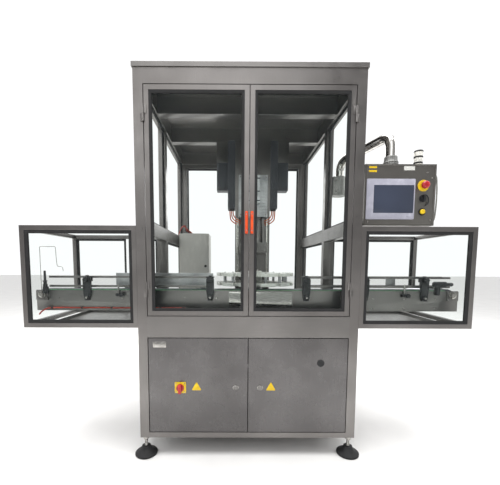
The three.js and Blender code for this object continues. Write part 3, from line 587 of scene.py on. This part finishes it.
def make_cabinet_details():
    """What is fixed on the two cabinet doors: isolator plate, plain triangles, blank type plate, socket."""
    front = edges("cabinet_door_left")[0][1]
    knob_x, _, knob_z = joint_at("isolator_turn")
    plate("isolator_plate", "cabinet_left", YELLOW, (knob_x, front, knob_z), (0.062, 0.062), 0.0035,
          corner=0.005)
    corners = four_round(knob_x, front - 0.0035, knob_z, 0.024, 0.024)
    screws("isolator_screws", "cabinet_left", corners, 0.0032)
    turns = np.radians([90, 210, 330])
    for name, body, x in (("plain_triangle_left", "cabinet_left", -0.284),
                          ("plain_triangle_right", "cabinet_right", 0.127)):
        steps = np.radians(np.linspace(-60, 60, 6))
        rings = []
        for inset, out in ((0.0006, 0), (0, 0.0003), (0, 0.0007), (0.0006, 0.001)):
            tips = np.stack([np.cos(turns), np.sin(turns)], axis=-1) * 0.024
            arcs = np.stack([np.cos(turns[:, None] + steps), np.sin(turns[:, None] + steps)], axis=-1)
            outline = (tips[:, None] + arcs * (0.004 - inset)).reshape(-1, 2)
            rings.append(np.stack([x + outline[:, 0], np.full(len(outline), front - out),
                                   knob_z + outline[:, 1]], axis=-1))
        build(name, *capped(np.array(rings)), body, YELLOW)
    plate_x, plate_z = -0.485, 0.640
    plate("type_plate", "cabinet_left", BOLT, (plate_x, front, plate_z), (0.072, 0.034), 0.0012,
          corner=0.002, soft=0.0004)
    rivets = [(plate_x + a * 0.032, front - 0.0012, plate_z) for a in (-1, 1)]
    screws("type_plate_rivets", "cabinet_left", rivets, 0.002)
    socket = [(20, 0), (20, 2.5), (18.5, 4), (14.5, 4), (13.5, 2), (1, 1.6)]
    turned_piece("service_socket", "cabinet_right", BLACK, mm(socket), (0.400, front, 0.537), facing="front")
    for side, word in SIDES:
        x, y, z = joint_at(f"latch_{word}_turn")
        ring = [(16, 0), (16, 1.4), (14.5, 2.2), (8, 2.2), (7.5, 0)]
        turned_piece(f"latch_{word}_ring", "cabinet_" + word, BOLT, mm(ring), (x, y, z), facing="front")


def make_door_details():
    """Screws on the handles and in the hinge leaves."""
    for side, word in SIDES:
        low, high = edges(f"door_{word}_handle")
        x = (low[0] + high[0]) / 2
        screws(f"door_{word}_handle_screws", "door_" + word,
               [(x, low[1] + 0.0006, z) for z in (low[2] + 0.016, high[2] - 0.016)], 0.0035)
        frame_low, frame_high = edges(f"door_{word}_frame")
        x = side * (max(abs(frame_low[0]), abs(frame_high[0])) - 0.008)
        starts = (edges("table")[1][2] + 0.105, edges("column")[1][2] - 0.187)
        moving = [(x, frame_low[1] + 0.0045, start + 0.041 + dz) for start in starts for dz in (0.010, 0.030)]
        screws(f"door_{word}_hinge_screws", "door_" + word, moving, 0.0022)


def make_arm():
    """A bent pipe of constant radius, its two elbows quadratic curves between the corner's tangents,
    and a turned collar with flutes at its foot."""
    pivot, collar = joint_at("arm_swing"), joint_at("box_swivel")
    low, high = edges("pendant_arm")
    radius, elbow = 0.028, 0.075
    run = high[2] - radius
    corners = np.array([(pivot[0], pivot[1], run), (collar[0], collar[1], run)])
    forward = (corners[1] - corners[0]) / np.linalg.norm(corners[1] - corners[0])
    drop = np.array([0, 0, -1.0])
    t = np.linspace(0, 1, 15)[:, None]

    def bend(corner, before, after):
        start, end = corner + before * elbow, corner + after * elbow
        return (1 - t) ** 2 * start + 2 * t * (1 - t) * corner + t ** 2 * end

    path = np.concatenate([[pivot], bend(corners[0], drop, forward), bend(corners[1], -forward, drop),
                           [(collar[0], collar[1], collar[2] + 0.055)]])
    across = np.cross(forward, drop)
    pipe = several("arm_pipe", [tube_shape(path, radius, 40, across),
                                turned_shape([(0.001, -0.05), (0.03, -0.05), (0.03, 0.001), (0.001, 0.001)],
                                             pivot)], "arm", PIPE)
    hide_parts("pendant_arm")
    rings = [(1, 0.3), (39, 0.3), (40, 2), (40, 18), (38.5, 20), (38.5, 23), (40, 25), (40, 27), (37, 30),
             (34, 44), (33.5, 57), (31, 60), (1, 60)]
    turned_piece("arm_collar", "arm", CASTING, mm(rings), collar, sides=72,
                 flutes=24, depth=0.035)
    weld = [(30, 0), (33, 1.5), (33.5, 4), (31, 7), (28, 8), (28, 0)]
    turned_piece("arm_pivot_ring", "arm", CASTING, mm(weld), pivot)
    low, high = edges("arm_pivot")
    bolts = [(low[0] + 0.02, low[1] + 0.006, z) for z in (low[2] + 0.025, high[2] - 0.025)]
    screws("arm_pivot_screws", "frame", bolts, 0.005)


def make_control_box():
    """Everything on the face and the top of the control box."""
    low, high = edges("control_box")
    front, right, top = low[1], high[0], high[2]
    panel_low, panel_high = edges("touch_panel")
    width, height = panel_high[0] - panel_low[0], panel_high[2] - panel_low[2]
    middle_x, _, middle_z = (panel_low + panel_high) / 2
    bezel = plate("touch_panel_bezel", "control", BEZEL, (middle_x, front, middle_z), (width, height), 0.0058,
                  corner=0.006, soft=0.0018)
    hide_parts("touch_panel")
    face = front - 0.0056
    plate("touch_panel_glass", "control", SCREEN, (middle_x + 0.016, face, middle_z), (0.214, 0.146), 0.0010,
          corner=0.003, soft=0.0003)
    plate("touch_panel_nameplate", "control", BEZEL, (panel_high[0] - 0.030, face, panel_low[2] + 0.016),
          (0.022, 0.009), 0.0008, corner=0.001, soft=0.0003)

    lid = mm(((0, 0), (0, 1.2), (0.8, 1.8), (6, 1.8), (6.6, 1.2), (6.6, 0)))
    build("control_box_lid_edge", *rim_shape((low[0] + 0.004, right - 0.004), (low[2] + 0.004, top - 0.004),
                                             (0, front, 0), lid), "control", BOX_SHEET)
    stop_x, _, selector_z = joint_at("selector_turn")
    stop_z, push_z = selector_z + 0.067, selector_z - 0.070
    disc = [(1, 0), (29, 0), (30, 0.8), (30, 2), (28.5, 2.8), (14, 2.8), (13, 2), (1, 2)]
    turned_piece("emergency_stop_disc", "control", YELLOW, mm(disc), (stop_x, front, stop_z),
                 facing="front", sides=64)
    ring = [(15.8, 0), (19.5, 0), (19.5, 2.5), (18.2, 4), (16.4, 4), (15.8, 3)]
    rings = [turned_shape(mm([*ring, ring[0]]), (stop_x, front, z), "front") for z in (selector_z, push_z)]
    several("button_rings", rings, "control", BLACK)
    strap = smooth_path([(stop_x + a * MM, front - b * MM, selector_z + c * MM) for a, b, c in (
        (0, 5, 15), (12, 9, 17), (21, 11, 8), (26, 10, -8), (27, 8, -22), (22, 6, -32), (16, 3, -36))])
    build("selector_guard", *tube_shape(strap, 0.0032, 12, (0, 1, 0)), "control", BLACK)
    plate("blank_label", "control", LABEL, (low[0] + 0.234, front, top - 0.021), (0.058, 0.022), 0.0006,
          corner=0.001, soft=0.0002)
    bars = [plate_shape((low[0] + 0.040, front, top - dz), (0.042, 0.010), 0.0006, corner=0.001, soft=0.0002)
            for dz in (0.017, 0.037)]
    several("plain_yellow_bars", bars, "control", YELLOW)
    heads = [(stop_x + 0.019, front, top - 0.042), (right - 0.022, front, top - 0.072),
             (right - 0.022, front, low[2] + 0.03), (low[0] + 0.02, front - 0.0018, low[2] + 0.02)]
    screws("control_box_screws", "control", heads, 0.004)

    beacon_low, beacon_high = edges("beacon")
    x, y, _ = (beacon_low + beacon_high) / 2
    tiers, rings = [], []
    tier = 0.0325
    for index in range(3):
        foot = 0.0075 + index * tier
        ribs = [(22.2 + 0.7 * (step % 2), step * 1.5) for step in range(17)]
        tiers.append(turned_shape([(0.001, foot), *[(r * MM, foot + z * MM) for r, z in ribs],
                                   (0.001, foot + 0.024)], (x, y, beacon_low[2])))
        rings.append(turned_shape([(0.001, foot - 0.0075), (0.0235, foot - 0.0075), (0.024, foot - 0.006),
                                   (0.024, foot - 0.0015), (0.0235, foot), (0.001, foot)],
                                  (x, y, beacon_low[2])))
    cap = [(1, 98), (24, 98), (24, 101), (22, 104.5), (18, 106), (1, 106)]
    rings.append(turned_shape(mm(cap), (x, y, beacon_low[2])))
    lenses = several("beacon_lenses", tiers, "control", LENS)
    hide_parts("beacon")
    several("beacon_rings", rings, "control", BLACK)

    # The lead on the box's right side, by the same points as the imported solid.
    lead_y, lead_z, gap = front + 0.060, top - 0.026, 0.001
    points = [(0, 0), (6, 0), (19, -2.6), (30, -10), (37.4, -21), (40.6, -34), (43.4, -62), (45.4, -98),
              (46, -137.5), (45.4, -177), (43.4, -213), (40.6, -241), (37.4, -254), (30, -265), (19, -272.4),
              (6, -275), (0, -275)]
    path = smooth_path([(right + gap + out * MM, lead_y, lead_z + up * MM) for out, up in points], 6)
    lead = build("control_lead", *tube_shape(path, 0.004, 16, (0, 1, 0)), "control", CABLE)
    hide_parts("control_cable")
    gland = [(0.5, 0), (8, 0), (8, 0.7), (7.2, 0.9), (0.5, 0.9)]
    glands = [turned_shape(mm(gland), (right, lead_y, z), "right", 24) for z in (lead_z, lead_z - 0.275)]
    several("lead_glands", glands, "control", BLACK)


def make_chain():
    """Hinged plates round the loop: plate k sits at arc length s = k*pitch; on a straight run it is
    shifted along X, on an end it is turned by s/radius about the shaft."""
    low, high = edges("chain")
    axis = joint_at("drive_spin")
    reach, height = axis[0], axis[2]
    radius = high[2] - height
    straight, around = 2 * reach, math.pi * radius
    count = round(2 * (straight + around) / 0.0381)
    pitch = 2 * (straight + around) / count
    width = high[1] - low[1] - 0.002
    template, faces = plate_shape((0, axis[1], -0.0046), (pitch - 0.0016, width), 0.0044, "up", 0.007, 0.0006)
    link, link_faces = plate_shape((0, axis[1], -0.0078), (0.5 * pitch, 0.030), 0.0034, "up", 0.002, 0.0004)
    faces = faces + [[index + len(template) for index in face] for face in link_faces]
    template = np.concatenate([template, link])
    s = (np.arange(count) * pitch)[:, None]
    past_bend = s - 2 * straight - around
    turn = np.clip((s - straight) / radius, 0, math.pi) + np.clip(past_bend / radius, 0, math.pi)
    centre = np.where(s < straight, -reach + s, np.where(s < straight + around, reach, np.where(
        s < 2 * straight + around, reach - (s - straight - around), -reach)))
    across, up = template[:, 0][None], template[:, 2][None] + radius
    x = centre + across * np.cos(turn) + up * np.sin(turn)
    z = height - across * np.sin(turn) + up * np.cos(turn)
    y = np.broadcast_to(template[:, 1][None], x.shape)
    points = np.stack([x, y, z], axis=-1).reshape(-1, 3)
    all_faces = [[index + k * len(template) for index in face] for k in range(count) for face in faces]
    piece = build("chain_plates", points, all_faces, "frame", CHAIN)
    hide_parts("chain")


def make_conveyor_details():
    """Wear strips beside the chain, bolt rows, the polished joint plate, sensors, hose and clips."""
    low, high = edges("conveyor_body")
    chain_low, chain_high = edges("chain")
    middle, half = (chain_low[1] + chain_high[1]) / 2, 0.065
    front, back = middle - half, middle + half
    top = chain_high[2] - 0.004
    end = high[0] - 0.07
    strips = [block_shape((-end, a, top - 0.014), (end, b, top + 0.0015), 0.0008, "up")
              for a, b in ((front + 0.0045, chain_low[1] - 0.001), (chain_high[1] + 0.001, back - 0.0045))]
    several("wear_strips", strips, "frame", GREEN)
    columns = np.arange(-1.08, 1.1, 0.18)
    star = joint_at("starwheel_spin")[0]
    clear = [x for x in columns if not star - 0.18 < x < star + 0.21]
    drops = (0.045, 0.100)
    screws("conveyor_screws_front", "frame", [(x, front, top - dz) for x in clear for dz in drops], 0.0045)
    screws("conveyor_screws_back", "frame", [(x, back, top - dz) for x in columns for dz in drops], 0.0045,
           "back")
    plate("joint_plate", "frame", PIPE, (star + 0.0135, front - 0.004, top - 0.051), (0.362, 0.086), 0.0014,
          corner=0.002, soft=0.0004)
    screws("joint_plate_screws", "frame", [(star + 0.0135 + a * 0.166, front - 0.0054, top - 0.051 + b * 0.03)
                                           for a in (-1, 0, 1) for b in (-1, 1)], 0.004)
    for shaft in (-1, 1):
        x, _, z = joint_at("drive_spin") * (shaft, 1, 1)
        word = "drive" if shaft > 0 else "idler"
        screws(f"{word}_bearing_screws", "frame",
               [(x + a * 0.024, front - 0.008, z + b) for a in (-1, 1) for b in (-0.025, 0.012)], 0.004)
        ring = [(11, 0), (19, 0), (20, 1), (20, 3), (18, 4), (11.5, 4)]
        profile = mm([*ring, ring[0]])
        turned_piece(f"{word}_bearing_ring", "frame", BOLT, profile, (x, front - 0.008, z), facing="front")

    # The light sensor and its bent wire at the inlet, and the sensors at the outlet.
    eye = [(0.5, 0), (12, 0), (12, 16), (9, 17), (9, 30), (12, 31), (12, 36), (6.5, 37), (6, 88), (4, 92),
           (0.5, 92)]
    parts = [turned_shape(mm(eye), (-1.150, front - 0.013, top + 0.018), sides=24),
             block_shape((-1.163, front - 0.020, top - 0.02), (-1.137, front, top + 0.02), 0.002)]
    several("inlet_sensor", parts, "frame", BLACK)
    wire = smooth_path([(-1.178, front - 0.004, z) for z in (top - 0.03, 1.0, 1.08, 1.15, 1.168)]
                       + [(x, front - 0.004, z) for x, z in (
                           (-1.171, 1.174), (-1.13, 1.174), (-1.096, 1.174), (-1.089, 1.167),
                           (-1.087, 1.12), (-1.083, 1.070), (-1.076, 1.063), (-1.060, 1.061),
                           (-1.053, 1.056), (-1.050, 1.037))], 5)
    build("inlet_wire", *tube_shape(wire, 0.0016, 8, (0, 1, 0)), "frame", BOLT)
    body = [block_shape((1.052, front - 0.030, 0.952), (1.128, front - 0.004, 0.984), 0.006),
            block_shape((1.070, front - 0.024, 0.905), (1.092, front, 0.953), 0.003),
            turned_shape([(0.001, 0), (0.011, 0), (0.011, 0.03), (0.009, 0.034), (0.001, 0.034)],
                         (1.128, front - 0.017, 0.968), "right", 24)]
    several("outlet_sensor", body, "frame", BLACK)
    for word, x in (("left", -0.736), ("right", 0.894)):
        rod = turned_shape([(0.0005, 0), (0.005, 0), (0.005, 0.062), (0.004, 0.064), (0.0005, 0.064)],
                           (x, front - 0.012, 0.902), sides=20)
        build(f"sensor_rod_{word}", *rod, "frame", BOLT)
        knob = [(1, 0), (13, 0), (14, 2), (14, 9), (12, 12), (1, 12)]
        parts = [block_shape((x - 0.016, front - 0.020, 0.894), (x + 0.016, front, 0.912), 0.003),
                 turned_shape(mm(knob), (x + 0.018, front - 0.016, 0.903), "front", 42,
                              flutes=6, depth=0.2)]
        several(f"sensor_clamp_{word}", parts, "frame", BLACK)
    plate("outlet_reflector", "frame", ALUMINIUM, (0.880, back - 0.004, 0.968), (0.055, 0.052), 0.010,
          corner=0.004)

    # An air hose runs along the foot of the channel and is held to it by clips.
    hose_y = front - 0.0062
    hose = smooth_path([(x, hose_y, z) for x, z in (
        (-1.196, 0.788), (-1.182, 0.804), (-1.160, 0.818), (-1.130, 0.826), (-1.05, 0.8275),
        (-0.95, 0.8265), (-0.85, 0.8275), (-0.75, 0.8265), (-0.65, 0.8275), (-0.55, 0.8265),
        (-0.45, 0.8265), (-0.36, 0.8265))], 6)
    build("air_hose", *tube_shape(hose, 0.004, 12, (0, 1, 0)), "frame", HOSE)
    clips = [block_shape((x - 0.005, front - 0.0112, 0.8205), (x + 0.005, front, 0.8335), 0.0015)
             for x in (-1.12, -0.95, -0.78, -0.65, -0.5, -0.37)]
    several("hose_clips", clips, "frame", BLACK)


def make_bracket_details():
    """A lobed knob at the front of each rail bracket, a wing on its top and a bolt at its foot."""
    knob = [(1, 0), (9, 0), (16, 3), (17, 6), (17, 10), (15, 13), (6, 14), (1, 14)]
    for index in range(1, 6):
        low, high = edges(f"rail_bracket_{index}")
        x, top = (low[0] + high[0]) / 2, high[2]
        parts = [turned_shape(mm(knob), (x, low[1] + 0.013, top - 0.014), "front", 48,
                              flutes=6, depth=0.16),
                 block_shape((x - 0.024, low[1] + 0.020, top - 0.003),
                             (x + 0.024, low[1] + 0.036, top + 0.003), 0.0018),
                 turned_shape([(0.001, 0), (0.009, 0), (0.009, 0.008), (0.001, 0.008)],
                              (x, low[1] + 0.028, top + 0.001), sides=24)]
        several(f"bracket_knob_{index}", parts, "frame", BLACK)
        screws(f"bracket_screw_{index}", "frame", [(x, low[1] + 0.0082, top - 0.116)], 0.007)


def make_starwheel_details():
    """Spacers between the two plates, hub bolts, a polished cap and an index mark under the lower
    plate; they turn with the wheel."""
    low, high = edges("starwheel")
    axis = joint_at("starwheel_spin")
    plates = (edges("chain")[1][2] + 0.032, edges("chain")[1][2] + 0.072)
    angles = np.radians(np.arange(12) * 30 + 15)

    def ring_spots(radius, turns):
        return [(axis[0] + radius * math.cos(a), axis[1] + radius * math.sin(a)) for a in turns]

    spots = ring_spots(0.205, angles)
    spacer = [(0.001, 0.0003), (0.009, 0.0003), (0.009, plates[1] - plates[0] - 0.0003),
              (0.001, plates[1] - plates[0] - 0.0003)]
    several("starwheel_spacers", [turned_shape(spacer, (x, y, plates[0]), sides=20) for x, y in spots],
            "starwheel", ALUMINIUM)
    screws("starwheel_spacer_screws", "starwheel", [(x, y, plates[1] + 0.020) for x, y in spots], 0.006, "up")
    hub = [(0.001, 0), (0.022, 0), (0.024, 0.002), (0.024, 0.008), (0.018, 0.012), (0.001, 0.013)]
    turned_piece("starwheel_cap", "starwheel", BOLT, hub, (axis[0], axis[1], high[2]))
    hub_spots = [(x, y, high[2]) for x, y in ring_spots(0.035, angles[::2])]
    screws("starwheel_hub_screws", "starwheel", hub_spots, 0.0045, "up")
    mark = block_shape((axis[0] - 0.013, axis[1] - 0.205, plates[0] - 0.0155),
                       (axis[0] + 0.013, axis[1] - 0.045, plates[0] - 0.012), 0.0008, "up")
    build("starwheel_mark", *mark, "starwheel", ALUMINIUM)


def make_column_details():
    """Dark duct covers, guide rails, the drive block's ribs, motor cables, a motor plate, carriage screws,
    chuck bands.
    """
    column_low, column_high = edges("column")
    lift_low, lift_high = edges("lift_drive")
    head_low, _ = edges("head_carriage")
    axis_x = joint_at("starwheel_spin")[0]
    face = lift_high[1]
    duct_floor = column_high[2] - 0.495
    wall = 0.0016
    for side, word in SIDES:
        edge = axis_x + side * 0.130
        far = (edge + side * (0.055 + wall), face + 0.100 + wall, column_high[2] - 0.0006)
        cover = block_shape((edge + side * 0.0005, face - wall, duct_floor - wall), far, 0.003)
        build(f"duct_cover_{word}", *cover, "frame", DARK_BOX)
        cables = []
        for step, dx in enumerate((-0.012, 0, 0.012)):
            x = edge + side * (0.028 + dx)
            dip = 0.012 * step
            cables.append(tube_shape(smooth_path([
                (x, face + 0.02, duct_floor - 0.001), (x, face + 0.015, duct_floor - 0.03),
                (x - side * 0.006, face + 0.002, duct_floor - 0.055 - dip),
                (x - side * 0.024, face - 0.010, duct_floor - 0.078 - dip),
                (x - side * 0.046, face - 0.012, duct_floor - 0.090 - dip),
                (x - side * 0.066, face - 0.004, duct_floor - 0.096 - dip),
                (x - side * 0.074, face + 0.003, duct_floor - 0.098 - dip)], 5), 0.0042, 10, (0, 1, 0.3)))
        several(f"motor_cables_{word}", cables, "frame", ORANGE_CABLE)
        glands = [turned_shape([(0.001, 0), (0.008, 0), (0.008, 0.012), (0.006, 0.014), (0.001, 0.014)],
                               (edge + side * (0.028 + dx), face + 0.02, duct_floor - wall), "down", 20)
                  for dx in (-0.012, 0, 0.012)]
        several(f"duct_glands_{word}", glands, "frame", BLACK)

    rails = [block_shape((axis_x + a - 0.010, face - 0.014, column_low[2] + 0.05),
                         (axis_x + a + 0.010, face, lift_low[2] - 0.004), 0.0012) for a in (-0.112, 0.112)]
    several("column_guide_rails", rails, "frame", BOLT)
    heights = np.arange(column_low[2] + 0.09, lift_low[2] - 0.02, 0.08)
    screws("column_rail_screws", "frame",
           [(axis_x + a, face - 0.014, z) for a in (-0.112, 0.112) for z in heights], 0.0045)
    body_front = lift_high[1] - 0.060
    ribs = [block_shape((axis_x + side * 0.048, body_front - 0.008, z),
                        (axis_x + side * 0.103, body_front, z + 0.006), 0.0012)
            for side in (-1, 1) for z in np.arange(lift_low[2] + 0.03, lift_high[2] - 0.02, 0.022)]
    several("lift_drive_ribs", ribs, "frame", ALUMINIUM)
    motor_front = lift_low[1]
    bands = [block_shape((axis_x - 0.046, motor_front - 0.0005, z),
                         (axis_x + 0.046, motor_front + 0.055, z + 0.010), 0.002)
             for z in (lift_low[2] + 0.10, lift_low[2] + 0.165, lift_high[2] - 0.045)]
    several("lift_motor_bands", bands, "frame", DARK_BOX)
    plate("lift_motor_plate", "frame", BOLT, (axis_x, motor_front, lift_low[2] + 0.137), (0.052, 0.034),
          0.0012, corner=0.002, soft=0.0003)
    screws("lift_drive_screws", "frame", [(axis_x + a * 0.092, body_front, z) for a in (-1, 1)
                                          for z in (lift_low[2] + 0.014, lift_high[2] - 0.012)], 0.0055)
    collar = [(11, 0), (17, 0), (18, 1), (18, 7), (16, 9), (11, 9), (11, 0)]
    scrapers = [turned_shape(mm(collar), (axis_x + a, face - 0.035, lift_low[2]), "down", 32)
                for a in (-0.075, 0.075)]
    several("rod_scrapers", scrapers, "frame", RUBBER)
    screws("carriage_screws", "head", [(axis_x + a * 0.088, head_low[1], head_low[2] + b) for a in (-1, 1)
                                       for b in (0.018, 0.056)], 0.005)
    screws("chuck_holder_screws", "head", [(axis_x + a * 0.031, head_low[1] + 0.005, z) for a in (-1, 1)
                                           for z in (head_low[2] + 0.095, head_low[2] + 0.185)], 0.004)
    chuck_low, _ = edges("chuck")
    chuck_x, chuck_y, _ = joint_at("chuck_spin")
    bands = []
    for z in (0.009, 0.014):
        band = [(0.029, z), (0.0308, z + 0.0005), (0.0308, z + 0.0025), (0.029, z + 0.003), (0.029, z)]
        bands.append(turned_shape(band, (chuck_x, chuck_y, chuck_low[2])))
    several("chuck_bands", bands, "chuck", RUBBER)


def make_hanging_boxes():
    """Mounting sleeves and lid screws of the two junction boxes."""
    for side, word in SIDES:
        low, high = edges(f"junction_box_{word}")
        ledge = high[2] - 0.150
        sheet, inside = 0.0015, 0.012
        middle = (low[0] + high[0]) / 2
        sleeve = block_shape((low[0] - sheet, low[1] - sheet, ledge),
                             (high[0] + sheet, high[1] + sheet, high[2] - 0.0005), 0.001)
        build(f"junction_sleeve_{word}", *sleeve, "frame", STEEL_ACROSS)
        plate(f"junction_lid_{word}", "frame", DARK_BOX,
              (middle, low[1], (low[2] + ledge) / 2 - 0.002),
              (high[0] - low[0] - inside, ledge - low[2] - inside), 0.0025, corner=0.006, soft=0.001)
        screws(f"junction_screws_{word}", "frame",
               [(middle + a * 0.028, low[1] - 0.0025, z) for a in (-1, 1)
                for z in (low[2] + 0.018, ledge - 0.022)], 0.0032)


def make_feeder_details():
    """The cap feeder's door, its lock and the bundle of wires that leaves its top."""
    low, high = edges("cap_feeder")
    middle, middle_y, middle_z = (low + high) / 2
    plate("feeder_door", "frame", PALE_BOX, (middle, low[1], middle_z),
          (high[0] - low[0] - 0.020, high[2] - low[2] - 0.024), 0.003, corner=0.006, soft=0.0012)
    lock = [(1, 0), (11, 0), (11, 3), (9, 4.5), (1, 4.5)]
    turned_piece("feeder_lock", "frame", BLACK, mm(lock),
                 (high[0] - 0.028, low[1] - 0.003, middle_z), facing="front")
    plate("feeder_top_plate", "frame", ALUMINIUM, (middle, middle_y, high[2]), (0.20, 0.16),
          0.006, "up", corner=0.006, soft=0.0012)
    wires = {"red": [], "black": []}
    for step, colour in enumerate(("red", "black", "red", "black")):
        shift = step * 0.009
        y = low[1] + 0.06 + shift
        wires[colour].append(tube_shape(smooth_path([
            (middle - 0.02 - shift, y, high[2] + 0.004), (middle - 0.03 - shift, y, high[2] + 0.016),
            (middle - 0.055 - shift, y - 0.005, high[2] + 0.034),
            (middle - 0.078, y - 0.010, high[2] + 0.056 + shift / 2),
            (middle - 0.095, y - 0.014, high[2] + 0.064 + shift / 2),
            (middle - 0.112, y - 0.016, high[2] + 0.050 + shift / 2),
            (low[0] - 0.004, y - 0.016, high[2] + 0.016 + shift / 2),
            (low[0] - 0.0125, y - 0.016, high[2] - 0.008 + shift / 2)], 5), 0.0034, 8, (0, 1, 0)))
    several("feeder_wires_red", wires["red"], "frame", HOSE)
    several("feeder_wires_black", wires["black"], "frame", BLACK)


def make_roof_lamp():
    """A flat lamp under the roof, behind the first beam."""
    top = edges("roof")[1][2] - 0.004
    beam = joint_at("starwheel_spin")[1] - 0.060
    x, y = -0.28, beam + 0.125
    plate("roof_lamp_body", "frame", ALUMINIUM, (x, y, top), (0.180, 0.130), 0.016, "down", corner=0.006,
          soft=0.0015)
    plate("roof_lamp_lens", "frame", LENS, (x, y, top - 0.0155), (0.160, 0.110), 0.003, "down", corner=0.004,
          soft=0.001)


# ---- floor and lamps ---------------------------------------------------------------------------
BACKDROP_GLOW = 1.12           # the white backdrop behind the machine
ROOM_GLOW = 0.45               # the dimmer room in front of it, which the steel mirrors
LAMPS = (("lamp_front", (-0.6, -4.2, 3.6), 3.0, 45), ("lamp_left", (-3.8, -1.0, 3.2), 2.5, 45),
         ("lamp_right", (3.8, -0.6, 3.4), 2.5, 40), ("lamp_back", (0.4, 4.0, 3.4), 3.0, 80),
         ("lamp_top", (0, -0.4, 5.5), 5.0, 420))


def make_stage():
    """A plain pale floor, a white backdrop that fades to a dimmer room, and broad soft lamps."""
    material, tree, place = new_material("pale_floor_paint")
    speck = noise(tree, place, 3, detail=3)
    tone = blend(tree, ramp(tree, speck, 0.3, 0.7, 0, 1), linear("#e9e8e6"), linear("#f0efed"))
    finish_material(tree, node(tree, "BsdfPrincipled", {"Base Color": tone, "Roughness": 0.6}))
    mesh = bpy.data.meshes.new("floor")
    reach = 30
    corners = [(-reach, -reach, 0), (reach, -reach, 0), (reach, reach, 0), (-reach, reach, 0)]
    mesh.from_pydata(corners, [], [(0, 1, 2, 3)])
    mesh.materials.append(material)
    floor = bpy.data.objects.new("floor", mesh)
    bpy.context.collection.objects.link(floor)

    world = bpy.data.worlds.new("studio")
    world.use_nodes = True
    sky = world.node_tree
    ahead = node(sky, "SeparateXYZ", {0: node(sky, "TexCoord").outputs["Generated"]}).outputs["Y"]
    background = sky.nodes["Background"]
    background.inputs["Color"].default_value = linear("#fbfbfc")
    sky.links.new(ramp(sky, ahead, -0.7, 0.3, ROOM_GLOW, BACKDROP_GLOW), background.inputs["Strength"])
    bpy.context.scene.world = world

    for name, place, size, power in LAMPS:
        data = bpy.data.lights.new(name, "AREA")
        data.size = size
        data.energy = power
        lamp = bpy.data.objects.new(name, data)
        lamp.location = place
        lamp.rotation_euler = (Vector((0, 0, 1)) - Vector(place)).to_track_quat("-Z", "Y").to_euler()
        bpy.context.collection.objects.link(lamp)


for make_piece in (make_seals, make_feet, make_cabinet_details, make_door_details, make_arm,
                   make_control_box, make_chain, make_conveyor_details, make_bracket_details,
                   make_starwheel_details, make_column_details, make_hanging_boxes, make_feeder_details,
                   make_roof_lamp):
    make_piece()
make_stage()
bpy.context.scene.view_settings.view_transform = "Standard"
